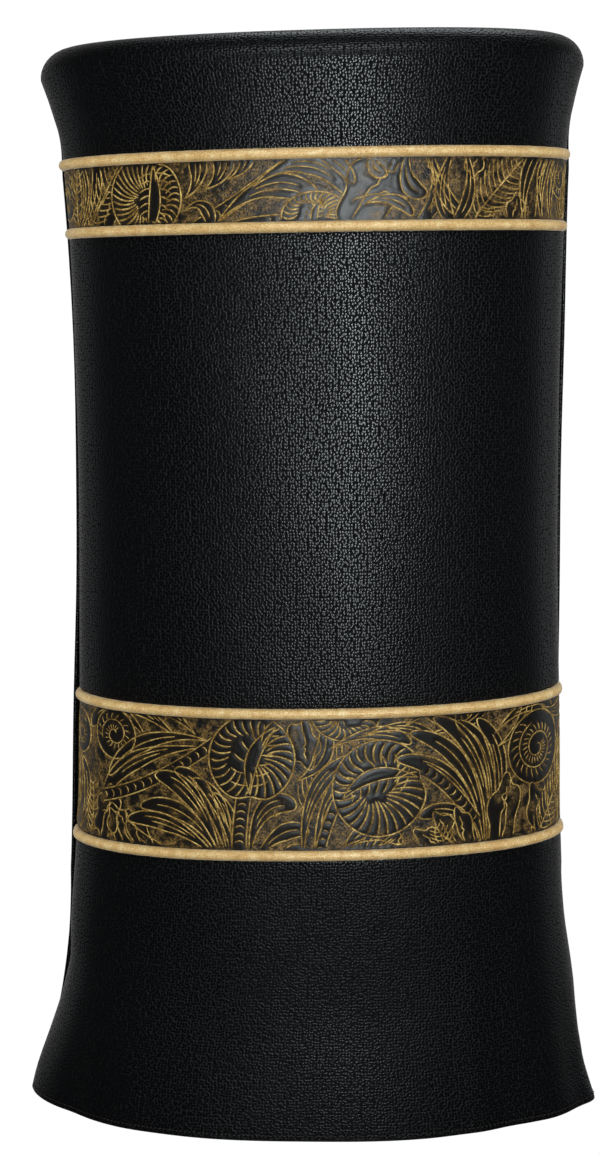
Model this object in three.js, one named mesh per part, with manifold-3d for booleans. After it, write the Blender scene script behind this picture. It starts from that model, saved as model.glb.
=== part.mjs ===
// A leather scroll mantle: a tall oval sleeve that drops over a scroll on two rollers.
// A padded oval board closes the top, and the rollers pass through its two holes. Below the board
// hang a front flap and a back flap, open to each other along both sides down to the hem. The front
// flap is pieced from plain and tooled leather with a gold piping in each of its four seams.
// Millimetres, +Z up, front towards -Y, origin on the floor under the middle of the mantle.

import * as THREE from 'three';
import Module from 'manifold-3d';
import { mergeVertices } from 'three/addons/utils/BufferGeometryUtils.js';

// ---- Driving dimensions ----

const HEIGHT = 760;
const SHOULDER_RADIUS = 20;
const OVAL_POWER = 2.3; // 2 is an ellipse, and more squares it a little

// Half-width and half-depth of the outer leather at each height, hem to shoulder.
const OUTLINE = [
    { z: 0, halfWidth: 208, halfDepth: 95 },
    { z: 50, halfWidth: 198, halfDepth: 93 },
    { z: 110, halfWidth: 185, halfDepth: 90.5 },
    { z: 200, halfWidth: 177.5, halfDepth: 90 },
    { z: 420, halfWidth: 172, halfDepth: 90 },
    { z: 570, halfWidth: 172.5, halfDepth: 90 },
    { z: 680, halfWidth: 176, halfDepth: 93 },
    { z: 715, halfWidth: 181.5, halfDepth: 96 },
    { z: HEIGHT - SHOULDER_RADIUS, halfWidth: 188.5, halfDepth: 100 },
];

// Heights of the four pipings, from the shoulder down.
const PIPING_HEIGHTS = [ 680, 632.5, 307.5, 205 ];
const PIPING_RADIUS = 3.3;
const PIPING_COVER_WALL = 0.8;
const PIPING_STANDOFF = 1.3; // from the leather's face out to the middle of the piping

const LEATHER = 1.8;
const INTERLINING = 1.2;
const LINING = 0.6;
const LAYER_GAP = 0.5;
const SEAM_GAP = 0.35;

const SLIT_TOP = 714; // the flaps part below this height
const SLIT_HALF_GAP = 3;
const BACK_OVERHANG = 3; // the back flap is this much wider on each side than the front one
const LINING_INSET = 5;
const LINING_HEM = 3;

const BOARD_THICKNESS = 6;
const PAD_THICKNESS = 16;
const PAD_CLEARANCE = 1.2;
const COVER_SEAM_INSET = 27; // from the shoulder's widest point in to the seam of the top cover

const ROLLER_SPACING = 190;
const ROLLER_HOLE_RADIUS = 29;
const BINDING_WALL = 1.2;
const BINDING_FLANGE = 9;

const THREAD_RADIUS = 0.4;
const THREAD_LIFT = 0.8; // from the leather's face out to the middle of the thread
const HEM_STITCH_HEIGHT = 4;
const EDGE_STITCH_INSET = 2.5;

const AROUND = 24; // facets across one flap
const ROUND_SIDES = 10;
const THREAD_SIDES = 6;

// Heights of the stack under the top cover.
const BINDING_HOLE = ROLLER_HOLE_RADIUS + BINDING_WALL + LAYER_GAP;
const PAD_TOP = HEIGHT - LEATHER - PAD_CLEARANCE;
const PAD_BOTTOM = PAD_TOP - PAD_THICKNESS;
const BOARD_TOP = PAD_BOTTOM - LAYER_GAP;
const BOARD_BOTTOM = BOARD_TOP - BOARD_THICKNESS;
const TOP_LINING_TOP = BOARD_BOTTOM - LAYER_GAP;
const TOP_LINING_BOTTOM = TOP_LINING_TOP - LINING;
const BOARD_INSET = 9;
const TOP_LINING_INSET = 14;

// ---- Colours ----

const finish = ( color, roughness ) => new THREE.MeshStandardMaterial( { color, roughness } );
const blackLeather = finish( 0x14161a, 0.45 );
const tooledLeather = finish( 0x4a3a1c, 0.5 );
const goldPiping = finish( 0xd9b15f, 0.4 );
const cottonCord = finish( 0xd8cfb8, 0.9 );
const satinLining = finish( 0x10121c, 0.5 );
const stiffener = finish( 0xcfcabd, 0.9 );
const plywood = finish( 0xc09a68, 0.7 );
const foam = finish( 0xd9d2b0, 0.95 );
const blackThread = finish( 0x2a2f38, 0.6 );

// ---- The mantle's surface ----

// A smooth curve through one column of the outline, read by height.
const outlineCurve = ( key ) =>
    new THREE.SplineCurve( OUTLINE.map( ( row ) => new THREE.Vector2( row[ key ], row.z ) ) );
const widthCurve = outlineCurve( 'halfWidth' );
const depthCurve = outlineCurve( 'halfDepth' );

function readAtHeight( curve, z ) {

    let low = 0;
    let high = 1;
    for ( let i = 0; i < 40; i ++ ) {

        const middle = ( low + high ) / 2;
        if ( curve.getPoint( middle ).y < z ) low = middle;
        else high = middle;

    }

    return curve.getPoint( low ).x;

}

const SIDE_TOP = HEIGHT - SHOULDER_RADIUS;
const SHOULDER_ARC = SHOULDER_RADIUS * Math.PI / 2;
const YOKE_TOP = SIDE_TOP + SHOULDER_ARC + COVER_SEAM_INSET - SHOULDER_RADIUS;

// A point of the oval at angle t, and the direction that faces out there.
function ovalPoint( t, halfWidth, halfDepth ) {

    const bend = ( value ) => Math.sign( value ) * Math.abs( value ) ** ( 2 / OVAL_POWER );
    return new THREE.Vector2( halfWidth * bend( Math.cos( t ) ), halfDepth * bend( Math.sin( t ) ) );

}

function ovalNormal( t, halfWidth, halfDepth ) {

    const point = ovalPoint( t, halfWidth, halfDepth );
    const slope = ( value, half ) => Math.sign( value ) * Math.abs( value / half ) ** ( OVAL_POWER - 1 ) / half;
    return new THREE.Vector2( slope( point.x, halfWidth ), slope( point.y, halfDepth ) ).normalize();

}

// The place of a sheet's point: t goes round the oval, climb goes up the leather from the hem and
// over the shoulder, and out is the distance outside the leather's face.
function onMantle( t, climb, out, extraWidth = 0 ) {

    const side = Math.min( climb, SIDE_TOP );
    const overShoulder = Math.max( 0, climb - SIDE_TOP );
    const angle = Math.min( overShoulder / SHOULDER_RADIUS, Math.PI / 2 );
    const inward = Math.max( 0, overShoulder - SHOULDER_ARC );
    const halfWidth = readAtHeight( widthCurve, side ) + extraWidth - SHOULDER_RADIUS - inward;
    const halfDepth = readAtHeight( depthCurve, side ) - SHOULDER_RADIUS - inward;
    const inner = ovalPoint( t, halfWidth, halfDepth );
    const normal = ovalNormal( t, halfWidth, halfDepth );
    const reach = ( SHOULDER_RADIUS + out ) * Math.cos( angle );
    const height = side + ( SHOULDER_RADIUS + out ) * Math.sin( angle );
    return new THREE.Vector3( inner.x + normal.x * reach, inner.y + normal.y * reach, height );

}

// ---- Sheets, cords and plates ----

// Every sheet bends at the same heights, so that the layers stay parallel.
const BEND_HEIGHTS = [ 25, 50, 80, 110, 150, 205, 307.5, 400, 500, 570, 632.5, 680, 697, SLIT_TOP, 727, SIDE_TOP,
    ...[ 1, 2, 3, 4 ].map( ( step ) => SIDE_TOP + SHOULDER_ARC * step / 4 ) ];
const bendsBetween = ( low, high ) => [ low, ...BEND_HEIGHTS.filter( ( z ) => z > low + 1 && z < high - 1 ), high ];

// How far round the oval a flap's edge is from its end, for a gap of that many millimetres.
const edgeAngle = ( gap, climb ) =>
    ( gap / readAtHeight( depthCurve, Math.min( climb, SIDE_TOP ) ) ) ** ( OVAL_POWER / 2 );

const FRONT = { start: Math.PI, extraWidth: 0 };
const BACK = { start: 0, extraWidth: BACK_OVERHANG };

// The gap at the flap's edges: open along the slit, and nearly shut above it.
function slitGap( climb ) {

    const shut = THREE.MathUtils.smoothstep( climb, SLIT_TOP - 20, SLIT_TOP + 8 );
    return THREE.MathUtils.lerp( SLIT_HALF_GAP, SEAM_GAP / 2, shut );

}

// The back flap's extra width fades out under the shoulder, where the two halves are sewn together.
const widening = ( half, climb ) =>
    half.extraWidth * ( 1 - THREE.MathUtils.smoothstep( climb, SLIT_TOP - 40, SLIT_TOP ) );

// An inset moves only the two edges, along the facets that they end, so that all the layers stay parallel.
function placeOnHalf( half, across, climb, out, inset ) {

    const edge = edgeAngle( slitGap( climb ), climb );
    const angleAt = ( share ) => half.start + edge + share * ( Math.PI - 2 * edge );
    const at = ( share ) => onMantle( angleAt( share ), climb, out, widening( half, climb ) );
    const place = at( across );
    const beside = across < 0.5 ? 1 / AROUND : 1 - 1 / AROUND;
    const onEdge = Math.abs( across - 0.5 ) > 0.5 - 1e-4;
    return inset > 0 && onEdge ? place.add( at( beside ).sub( place ).setLength( inset ) ) : place;

}

// Bends a straight solid whose x is 0 to 1 across the flap, y the climb and z the distance out.
function bendOntoHalf( geometry, half, inset = 0 ) {

    const position = geometry.attributes.position;
    for ( let i = 0; i < position.count; i ++ ) {

        const place = placeOnHalf( half, position.getX( i ), position.getY( i ), position.getZ( i ), inset );
        position.setXYZ( i, place.x, place.y, place.z );

    }

    return bare( geometry );

}

function bare( geometry ) {

    geometry.deleteAttribute( 'normal' );
    geometry.deleteAttribute( 'uv' );
    return mergeVertices( geometry, 1e-3 );

}

// A sheet cut flat and then bent: low and high are its edges, depth its face's distance below the
// outer leather's face.
function sheet( half, low, high, depth, thickness, inset = 0 ) {

    const bends = bendsBetween( low, high );
    const rows = bends.length - 1;
    const flat = new THREE.BoxGeometry( 1, 1, thickness, AROUND, rows, 1 );
    flat.translate( 0.5, 0.5, - depth - thickness / 2 );
    const position = flat.attributes.position;
    for ( let i = 0; i < position.count; i ++ ) {

        position.setY( i, bends[ Math.round( position.getY( i ) * rows ) ] );

    }

    return bendOntoHalf( flat, half, inset );

}

// A round cord lying across a flap, hollow where innerRadius is over 0.
function cordAcross( half, climb, out, radius, innerRadius = 0, sides = ROUND_SIDES, inset = 0 ) {

    const stations = [ ...Array( AROUND + 1 ).keys() ].map( ( i ) => i / AROUND );
    const outer = stations.map( ( y ) => new THREE.Vector2( radius, y ) );
    const inner = stations.map( ( y ) => new THREE.Vector2( innerRadius, y ) ).reverse();
    const capped = [ new THREE.Vector2( 0, 0 ), ...outer, new THREE.Vector2( 0, 1 ) ];
    const profile = innerRadius > 0 ? [ ...outer, ...inner, outer[ 0 ].clone() ] : capped;
    const cord = new THREE.LatheGeometry( profile, sides );
    cord.rotateZ( - Math.PI / 2 );
    cord.translate( 0, climb, out );
    return bendOntoHalf( cord, half, inset );

}

// A thread running up a flap on its outer face, beside its first edge where side is 0 and its last
// where it is 1.
function threadUp( half, side, low, high ) {

    const bends = bendsBetween( low, high );
    const rows = bends.length - 1;
    const thread = new THREE.CylinderGeometry( THREAD_RADIUS, THREAD_RADIUS, 1, THREAD_SIDES, rows );
    const position = thread.attributes.position;
    for ( let i = 0; i < position.count; i ++ ) {

        const climb = bends[ Math.round( ( position.getY( i ) + 0.5 ) * rows ) ];
        const inset = EDGE_STITCH_INSET + ( side === 0 ? 1 : - 1 ) * position.getX( i );
        const place = placeOnHalf( half, side, climb, THREAD_LIFT + position.getZ( i ), inset );
        position.setXYZ( i, place.x, place.y, place.z );

    }

    return bare( thread );

}

// A flat oval plate from z low to z high, inset from the shoulder's widest line.
function ovalShape( inset ) {

    const halfWidth = readAtHeight( widthCurve, SIDE_TOP ) - SHOULDER_RADIUS;
    const halfDepth = readAtHeight( depthCurve, SIDE_TOP ) - SHOULDER_RADIUS;
    const grow = Math.max( 0, SHOULDER_RADIUS - inset );
    const shrink = Math.max( 0, inset - SHOULDER_RADIUS );
    const points = [ ...Array( 2 * AROUND ).keys() ].map( ( i ) => {

        const t = i * Math.PI / AROUND;
        const point = ovalPoint( t, halfWidth - shrink, halfDepth - shrink );
        return point.addScaledVector( ovalNormal( t, halfWidth - shrink, halfDepth - shrink ), grow );

    } );
    return new THREE.Shape( points );

}

function withRollerHoles( shape, radius ) {

    for ( const side of [ - 1, 1 ] ) {

        const hole = new THREE.Path();
        hole.absarc( side * ROLLER_SPACING / 2, 0, radius, 0, 2 * Math.PI, true );
        shape.holes.push( hole );

    }

    return shape;

}

function plate( inset, holeRadius, low, high ) {

    const shape = withRollerHoles( ovalShape( inset ), holeRadius );
    const depth = high - low;
    const flat = new THREE.ExtrudeGeometry( shape, { depth, bevelEnabled: false, curveSegments: AROUND } );
    return bare( flat.translate( 0, 0, low ) );

}

const wasm = await Module();
wasm.setup();

function solidOf( geometry ) {

    const triVerts = new Uint32Array( geometry.index.array );
    const vertProperties = geometry.attributes.position.array;
    return new wasm.Manifold( new wasm.Mesh( { numProp: 3, vertProperties, triVerts } ) );

}

function geometryOf( solid ) {

    const mesh = solid.getMesh();
    const geometry = new THREE.BufferGeometry();
    geometry.setAttribute( 'position', new THREE.BufferAttribute( mesh.vertProperties, 3 ) );
    geometry.setIndex( new THREE.BufferAttribute( mesh.triVerts, 1 ) );
    return geometry;

}

// The foam pad: an oval with a rounded rim, cut flat underneath, with the roller holes through it.
function paddedTop( low, high ) {

    const rim = SHOULDER_RADIUS - LEATHER - PAD_CLEARANCE;
    const shape = ovalShape( SHOULDER_RADIUS - rim );
    const bevel = { bevelThickness: rim, bevelSize: rim, bevelOffset: - rim, bevelSegments: 4 };
    const whole = new THREE.ExtrudeGeometry( shape, { depth: rim, curveSegments: AROUND, ...bevel } );
    whole.translate( 0, 0, high - 2 * rim );
    const reach = 2 * readAtHeight( widthCurve, SIDE_TOP );
    const below = new THREE.BoxGeometry( 2 * reach, 2 * reach, reach ).translate( 0, 0, low - reach / 2 );
    let solid = solidOf( bare( whole ) ).subtract( solidOf( bare( below ) ) );
    for ( const side of [ - 1, 1 ] ) {

        const hole = new THREE.CylinderGeometry( BINDING_HOLE, BINDING_HOLE, 4 * PAD_THICKNESS, 2 * AROUND );
        hole.rotateX( Math.PI / 2 ).translate( side * ROLLER_SPACING / 2, 0, ( low + high ) / 2 );
        solid = solid.subtract( solidOf( bare( hole ) ) );

    }

    return geometryOf( solid );

}

// A leather collar through a roller hole, with a flange lying on the top cover.
function rollerBinding( side, bottom, top ) {

    const inner = ROLLER_HOLE_RADIUS;
    const wall = inner + BINDING_WALL;
    const profile = [
        new THREE.Vector2( inner, bottom ),
        new THREE.Vector2( wall, bottom ),
        new THREE.Vector2( wall, top ),
        new THREE.Vector2( wall + BINDING_FLANGE, top ),
        new THREE.Vector2( wall + BINDING_FLANGE, top + BINDING_WALL ),
        new THREE.Vector2( inner, top + BINDING_WALL ),
        new THREE.Vector2( inner, bottom ),
    ];
    const collar = new THREE.LatheGeometry( profile, 2 * AROUND );
    collar.rotateX( Math.PI / 2 ).translate( side * ROLLER_SPACING / 2, 0, 0 );
    return bare( collar );

}

// ---- Assembly ----

const mantle = new THREE.Group();

function add( name, geometry, material ) {

    const mesh = new THREE.Mesh( geometry, material );
    mesh.name = name;
    mantle.add( mesh );

}

add( 'top_cover', plate( COVER_SEAM_INSET + SEAM_GAP, BINDING_HOLE, HEIGHT - LEATHER, HEIGHT ), blackLeather );
add( 'top_pad', paddedTop( PAD_BOTTOM, PAD_TOP ), foam );
add( 'top_board', plate( BOARD_INSET, BINDING_HOLE, BOARD_BOTTOM, BOARD_TOP ), plywood );
add( 'top_lining', plate( TOP_LINING_INSET, BINDING_HOLE, TOP_LINING_BOTTOM, TOP_LINING_TOP ), satinLining );
const bindingSpan = [ TOP_LINING_BOTTOM + SEAM_GAP, HEIGHT + SEAM_GAP ];
add( 'left_roller_binding', rollerBinding( - 1, ...bindingSpan ), blackLeather );
add( 'right_roller_binding', rollerBinding( 1, ...bindingSpan ), blackLeather );

const seamEdge = PIPING_RADIUS + SEAM_GAP;
const YOKE_BOTTOM = PIPING_HEIGHTS[ 0 ] + seamEdge;
const liningDepth = LEATHER + LAYER_GAP;
const YOKE_LINING_TOP = TOP_LINING_BOTTOM - 2 * LAYER_GAP;
add( 'front_yoke', sheet( FRONT, YOKE_BOTTOM, YOKE_TOP, 0, LEATHER ), blackLeather );
add( 'back_yoke', sheet( BACK, YOKE_BOTTOM, YOKE_TOP, 0, LEATHER ), blackLeather );
const yokeLining = [ YOKE_BOTTOM, YOKE_LINING_TOP, liningDepth, LINING, LINING_INSET ];
add( 'front_yoke_lining', sheet( FRONT, ...yokeLining ), satinLining );
add( 'back_yoke_lining', sheet( BACK, ...yokeLining ), satinLining );

// The front flap's leathers, each from just above one piping to just below the next.
const frontPieces = [ 'front_upper_band', 'front_middle_panel', 'front_lower_band', 'front_skirt' ];
frontPieces.forEach( ( name, i ) => {

    const top = PIPING_HEIGHTS[ i ] - seamEdge;
    const bottom = i < 3 ? PIPING_HEIGHTS[ i + 1 ] + seamEdge : 0;
    const leather = name.endsWith( 'band' ) ? tooledLeather : blackLeather;
    add( name, sheet( FRONT, bottom, top, 0, LEATHER ), leather );

} );

PIPING_HEIGHTS.forEach( ( height, i ) => {

    const coreSpace = PIPING_RADIUS - PIPING_COVER_WALL;
    const cover = cordAcross( FRONT, height, PIPING_STANDOFF, PIPING_RADIUS, coreSpace );
    const core = cordAcross( FRONT, height, PIPING_STANDOFF, coreSpace - SEAM_GAP );
    add( `piping_${ i + 1 }_cover`, cover, goldPiping );
    add( `piping_${ i + 1 }_cord`, core, cottonCord );

} );

const FLAP_TOP = PIPING_HEIGHTS[ 0 ] + PIPING_RADIUS;
const innerDepth = liningDepth + INTERLINING + LAYER_GAP;
for ( const [ name, half ] of [ [ 'front', FRONT ], [ 'back', BACK ] ] ) {

    const stiff = sheet( half, LINING_HEM, FLAP_TOP, liningDepth, INTERLINING, LINING_INSET );
    const satin = sheet( half, LINING_HEM, FLAP_TOP, innerDepth, LINING, LINING_INSET );
    const hemRow = [ HEM_STITCH_HEIGHT, THREAD_LIFT, THREAD_RADIUS, 0, THREAD_SIDES, EDGE_STITCH_INSET ];
    add( `${ name }_interlining`, stiff, stiffener );
    add( `${ name }_lining`, satin, satinLining );
    add( `${ name }_hem_thread`, cordAcross( half, ...hemRow ), blackThread );

}

add( 'back_panel', sheet( BACK, 0, FLAP_TOP, 0, LEATHER ), blackLeather );
const EDGE_THREAD_BOTTOM = 2 * HEM_STITCH_HEIGHT;
const EDGE_THREAD_TOP = FLAP_TOP - HEM_STITCH_HEIGHT;
add( 'back_right_edge_thread', threadUp( BACK, 0, EDGE_THREAD_BOTTOM, EDGE_THREAD_TOP ), blackThread );
add( 'back_left_edge_thread', threadUp( BACK, 1, EDGE_THREAD_BOTTOM, EDGE_THREAD_TOP ), blackThread );

export default mantle;
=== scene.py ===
"""A leather scroll mantle: a padded oval top, and a front and a back flap that hang from it.

The front is pieced from pebbled cowhide and two bands of tooled leather, with a gold piping in each
seam. Everything is in metres in the frame's own axes: +Z up, the decorated front towards -Y.
"""

import math

import bmesh
import bpy
import numpy as np
from bpy.props import FloatProperty, FloatVectorProperty, PointerProperty
from mathutils import Matrix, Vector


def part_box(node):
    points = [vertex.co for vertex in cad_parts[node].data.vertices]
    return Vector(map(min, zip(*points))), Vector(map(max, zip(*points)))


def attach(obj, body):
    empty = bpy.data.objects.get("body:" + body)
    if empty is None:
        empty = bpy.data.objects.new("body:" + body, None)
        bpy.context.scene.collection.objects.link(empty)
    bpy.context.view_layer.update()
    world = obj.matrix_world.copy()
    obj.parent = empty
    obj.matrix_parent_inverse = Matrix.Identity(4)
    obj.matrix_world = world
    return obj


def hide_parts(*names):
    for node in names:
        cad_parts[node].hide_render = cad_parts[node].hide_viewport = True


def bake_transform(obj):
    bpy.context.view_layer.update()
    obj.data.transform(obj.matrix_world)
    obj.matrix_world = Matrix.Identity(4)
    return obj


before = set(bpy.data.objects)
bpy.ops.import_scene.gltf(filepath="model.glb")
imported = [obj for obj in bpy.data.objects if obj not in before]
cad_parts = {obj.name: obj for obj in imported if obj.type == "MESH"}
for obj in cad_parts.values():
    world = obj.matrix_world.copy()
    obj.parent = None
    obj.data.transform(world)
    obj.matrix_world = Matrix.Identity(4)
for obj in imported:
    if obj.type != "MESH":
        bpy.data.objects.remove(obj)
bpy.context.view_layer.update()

bl_info = {
    "name": "Scroll mantle",
    "version": (1, 0, 0),
    "blender": (4, 5, 0),
    "location": "3D View > Sidebar > Mantle",
    "description": "Dresses the packed frame of a scroll mantle in leather, piping, tooling and stitches",
    "category": "Add Mesh",
}

MM = 0.001

# ---- Driving sizes, beside those in the property groups ----

OVAL_POWER = 2.3           # 2 is an ellipse, and more squares it a little
SHOULDER = 20 * MM         # radius of the leather over the top's rim
SLIT_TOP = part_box("front_yoke")[0].z + 30 * MM
SLIT_HALF_GAP = 3 * MM
SEAM_HALF_GAP = 0.25 * MM
BACK_OVERHANG = [-7, -6, -1, 3, 3, 0]   # mm that the back flap reaches past the front one, up its height
HALF_THICK = 0.9 * MM      # half the leather's thickness
TURNED_HALF = 1.45 * MM    # half the thickness where an edge is turned in
TURN_IN = 9 * MM           # how far a turned edge reaches in
TUCK = 2.4 * MM            # from a piping's middle line to the leather's edge beneath it
PIPING_NAMES = ["piping_1", "piping_2", "piping_3", "piping_4"]
TOP_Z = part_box("top_cover")[1].z
SIDE_TOP = TOP_Z - SHOULDER

FRONT_LEATHERS = ["front_skirt", "front_lower_band", "front_middle_panel", "front_upper_band", "front_yoke"]


# ---- Small helpers on arrays ----

def smoothstep(value, low, high):
    """0 below low, 1 above high, and an even S-curve between."""
    share = np.clip((value - low) / (high - low), 0, 1)
    return share * share * (3 - 2 * share)


def bell(value, centre, width):
    """A Gaussian bump of height 1."""
    return np.exp(-((value - centre) / width) ** 2)


def smooth_through(at, knots, values):
    """A cubic Hermite curve through the knots, whose slope at a knot comes from its neighbours."""
    knots, values = np.asarray(knots, float), np.asarray(values, float)
    slopes = np.gradient(values, knots)
    i = np.clip(np.searchsorted(knots, at) - 1, 0, len(knots) - 2)
    step = knots[i + 1] - knots[i]
    u = np.clip((at - knots[i]) / step, 0, 1)
    return (
        (1 + 2 * u) * (1 - u) ** 2 * values[i] + u * (1 - u) ** 2 * step * slopes[i]
        + u * u * (3 - 2 * u) * values[i + 1] + u * u * (u - 1) * step * slopes[i + 1]
    )


def unit_rows(vectors):
    """Each vector of the last axis divided by its length."""
    return vectors / np.maximum(np.linalg.norm(vectors, axis=-1, keepdims=True), 1e-12)


# ---- The mantle's surface ----

def vertices_of(node):
    """The corners of a CAD node's mesh as an array."""
    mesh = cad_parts[node].data
    flat = np.empty(3 * len(mesh.vertices), np.float32)
    mesh.vertices.foreach_get("co", flat)
    return flat.reshape(-1, 3).astype(float)


def read_outline():
    """Half-width and half-depth of the outer leather at each height where the frame's front has a row."""
    corners = np.concatenate([vertices_of(node) for node in FRONT_LEATHERS])
    corners = corners[corners[:, 2] <= SIDE_TOP + 0.1 * MM]
    heights = np.unique(corners[:, 2].round(4))
    rings = [abs(corners[abs(corners[:, 2] - z) < 0.1 * MM]) for z in heights]
    return heights, np.array([r[:, 0].max() for r in rings]), np.array([r[:, 1].max() for r in rings])


OUTLINE = read_outline()


def half_sizes(climb, half):
    """Half-width and half-depth at a climb, with the back's overhang faded out under the shoulder."""
    side = np.clip(climb, 0, SIDE_TOP)
    overhang = 0
    if half == "back":
        overhang = MM * np.interp(side, [0, 0.05, 0.11, 0.17, SLIT_TOP - 0.04, SLIT_TOP], BACK_OVERHANG)
    return smooth_through(
        side, OUTLINE[0], OUTLINE[1]
    ) + overhang, smooth_through(side, OUTLINE[0], OUTLINE[2])


def oval(angle, half_width, half_depth):
    """A superellipse: x is a signed power of the cosine and y of the sine; its gradient gives the normal."""
    bend = lambda v: np.sign(v) * np.abs(v) ** (2 / OVAL_POWER)
    x, y = half_width * bend(np.cos(angle)), half_depth * bend(np.sin(angle))
    slope = lambda v, half: np.sign(v) * np.abs(v / half) ** (OVAL_POWER - 1) / half
    normal = unit_rows(np.stack([slope(x, half_width), slope(y, half_depth)], axis=-1))
    return x, y, normal[..., 0], normal[..., 1]


def slit_gap(climb):
    """Half the gap between the flaps: open along the slit, and nearly shut above it."""
    shut = smoothstep(climb, SLIT_TOP - 20 * MM, SLIT_TOP + 8 * MM)
    return SLIT_HALF_GAP + (SEAM_HALF_GAP - SLIT_HALF_GAP) * shut


TABLE_HEIGHTS = np.linspace(0, SIDE_TOP, 149)
TABLE_SHARES = np.linspace(0, 1, 801)


def angle_table(half):
    """For each height, the oval's angle at even shares of the leather's length from slit to slit."""
    fine = np.linspace(0, np.pi, 2401)
    angles, lengths = [], []
    for z in TABLE_HEIGHTS:
        width, depth = half_sizes(z, half)
        x, y, nx, ny = oval(fine, width - SHOULDER, depth - SHOULDER)
        x, y = x + nx * SHOULDER, y + ny * SHOULDER
        along = np.concatenate([[0], np.cumsum(np.hypot(np.diff(x), np.diff(y)))])
        quarter = len(fine) // 4
        edge = np.interp(slit_gap(z), y[:quarter], along[:quarter])
        lengths.append(along[-1] - 2 * edge)
        angles.append(np.interp(edge + TABLE_SHARES * lengths[-1], along, fine))
    return np.array(angles), np.array(lengths)


ANGLES = {half: angle_table(half) for half in ("front", "back")}


def length_at(half, climb):
    """The leather's length from slit to slit at a height."""
    return np.interp(climb, TABLE_HEIGHTS, ANGLES[half][1])


def angle_at(half, share, climb):
    """The oval's angle at a share of the way across, read from the table between its four nearest entries."""
    table = ANGLES[half][0]
    row = np.clip(climb / SIDE_TOP, 0, 1) * (len(TABLE_HEIGHTS) - 1)
    column = np.clip(share, 0, 1) * (len(TABLE_SHARES) - 1)
    r = np.minimum(row.astype(int), len(TABLE_HEIGHTS) - 2)
    c = np.minimum(column.astype(int), len(TABLE_SHARES) - 2)
    u, v = row - r, column - c
    low = table[r, c] * (1 - v) + table[r, c + 1] * v
    high = table[r + 1, c] * (1 - v) + table[r + 1, c + 1] * v
    return low * (1 - u) + high * u + (np.pi if half == "front" else 0)


# How far the hem leaves the oval, in mm, from the flap's left edge at -1 to its right edge at 1: the right
# corner is folded sharply and the left one hangs back.
HEM_ACROSS = [
    -1, -0.95, -0.90, -0.84, -0.76, -0.66, -0.56, -0.46, -0.30, 0, 0.36, 0.51, 0.66, 0.80, 0.87, 0.93, 0.965,
    1
]
HEM_OUT = [0, -2.5, -5, -7, -8, -5, -2.2, -0.4, 2.6, 4, 2.9, -1.2, -3, -1, 1, 5.5, 3, 0]
# How far the front's left and right edges stand to the right of the oval, in mm, up their height.
EDGE_HEIGHTS = [0, 0.016, 0.029, 0.041, 0.052, 0.064, 0.087, 0.098, 0.137, 0.20, 0.78]
LEFT_EDGE = [-1.5, -0.8, 0.7, 2.5, 3.8, 4.5, 4.7, 4.5, 0.3, 0, 0]
RIGHT_EDGE = [0, -1.5, -2.2, -1.4, -0.7, 0.8, 3, 3, 0.8, 0, 0]


def drape(half, share, climb):
    """How the hanging leather leaves the true oval: out of it, and sideways."""
    a = 2 * share - 1
    skirt = 1 - smoothstep(climb, 0, 0.22)
    body = 1 - smoothstep(climb, SIDE_TOP - 50 * MM, SIDE_TOP - 10 * MM)
    sway = MM * smooth_through(climb, [0, 0.05, 0.13, 0.22, 0.45, 0.64, 0.74], [-6, -5, -1, 1.5, 3, 2.5, 0])
    ripple = 0.35 * MM * np.sin(9 * a + 14 * climb + 1) * np.sin(21 * climb + 2 * a) * body
    if half == "front":
        out = ripple - 4.5 * MM * bell(a, -1, 0.05) * bell(climb, 0.702, 0.022)
        out = out - 1.2 * MM * bell(a, -1, 0.06) * bell(climb, 0.112, 0.010)
        folds = (
            0.9 * bell(a, 0.50, 0.05) - 0.7 * bell(a, 0.60, 0.05) + 0.9 * bell(a, 0.74, 0.05)
            - 0.6 * bell(a, 0.84, 0.04) - 0.8 * bell(a, -0.72, 0.07) + 0.5 * bell(a, -0.52, 0.08)
        )
        out = out + MM * folds * skirt
        out = out + MM * smooth_through(a, HEM_ACROSS, HEM_OUT) * (1 - smoothstep(climb, -0.03, 0.10)) / 0.86
        sway = sway + MM * smooth_through(climb, EDGE_HEIGHTS, LEFT_EDGE) * bell(a, -1, 0.22)
        sway = sway + MM * smooth_through(climb, EDGE_HEIGHTS, RIGHT_EDGE) * bell(a, 1, 0.22)
    else:
        folds = 1.6 * bell(a, -0.35, 0.09) - 1.2 * bell(a, -0.12, 0.08) + 1.2 * bell(a, 0.42, 0.10)
        out = ripple + MM * folds * skirt
        sway = sway - 3 * MM * bell(climb, 0.27, 0.13)
    return out, sway


def seam_tilt(x, climb):
    """How far a seam or the top leaves its level: a tilt times x, less a sag times one less x squared.

    The right ends stand a little higher than the left ones, and the seam over the deep band sags.
    """
    tilt = smooth_through(
        climb, [0, 0.2, 0.307, 0.45, 0.6, 0.66, 0.74, 0.80], [0, 2.4, 1.6, 0, 1.0, 2.0, 3.4, 3.4]
    )
    sag = 2.8 * bell(climb, 0.312, 0.045)
    across = x / 0.19
    return MM * (tilt * across - sag * np.clip(1 - across ** 2, 0, 1))


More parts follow.
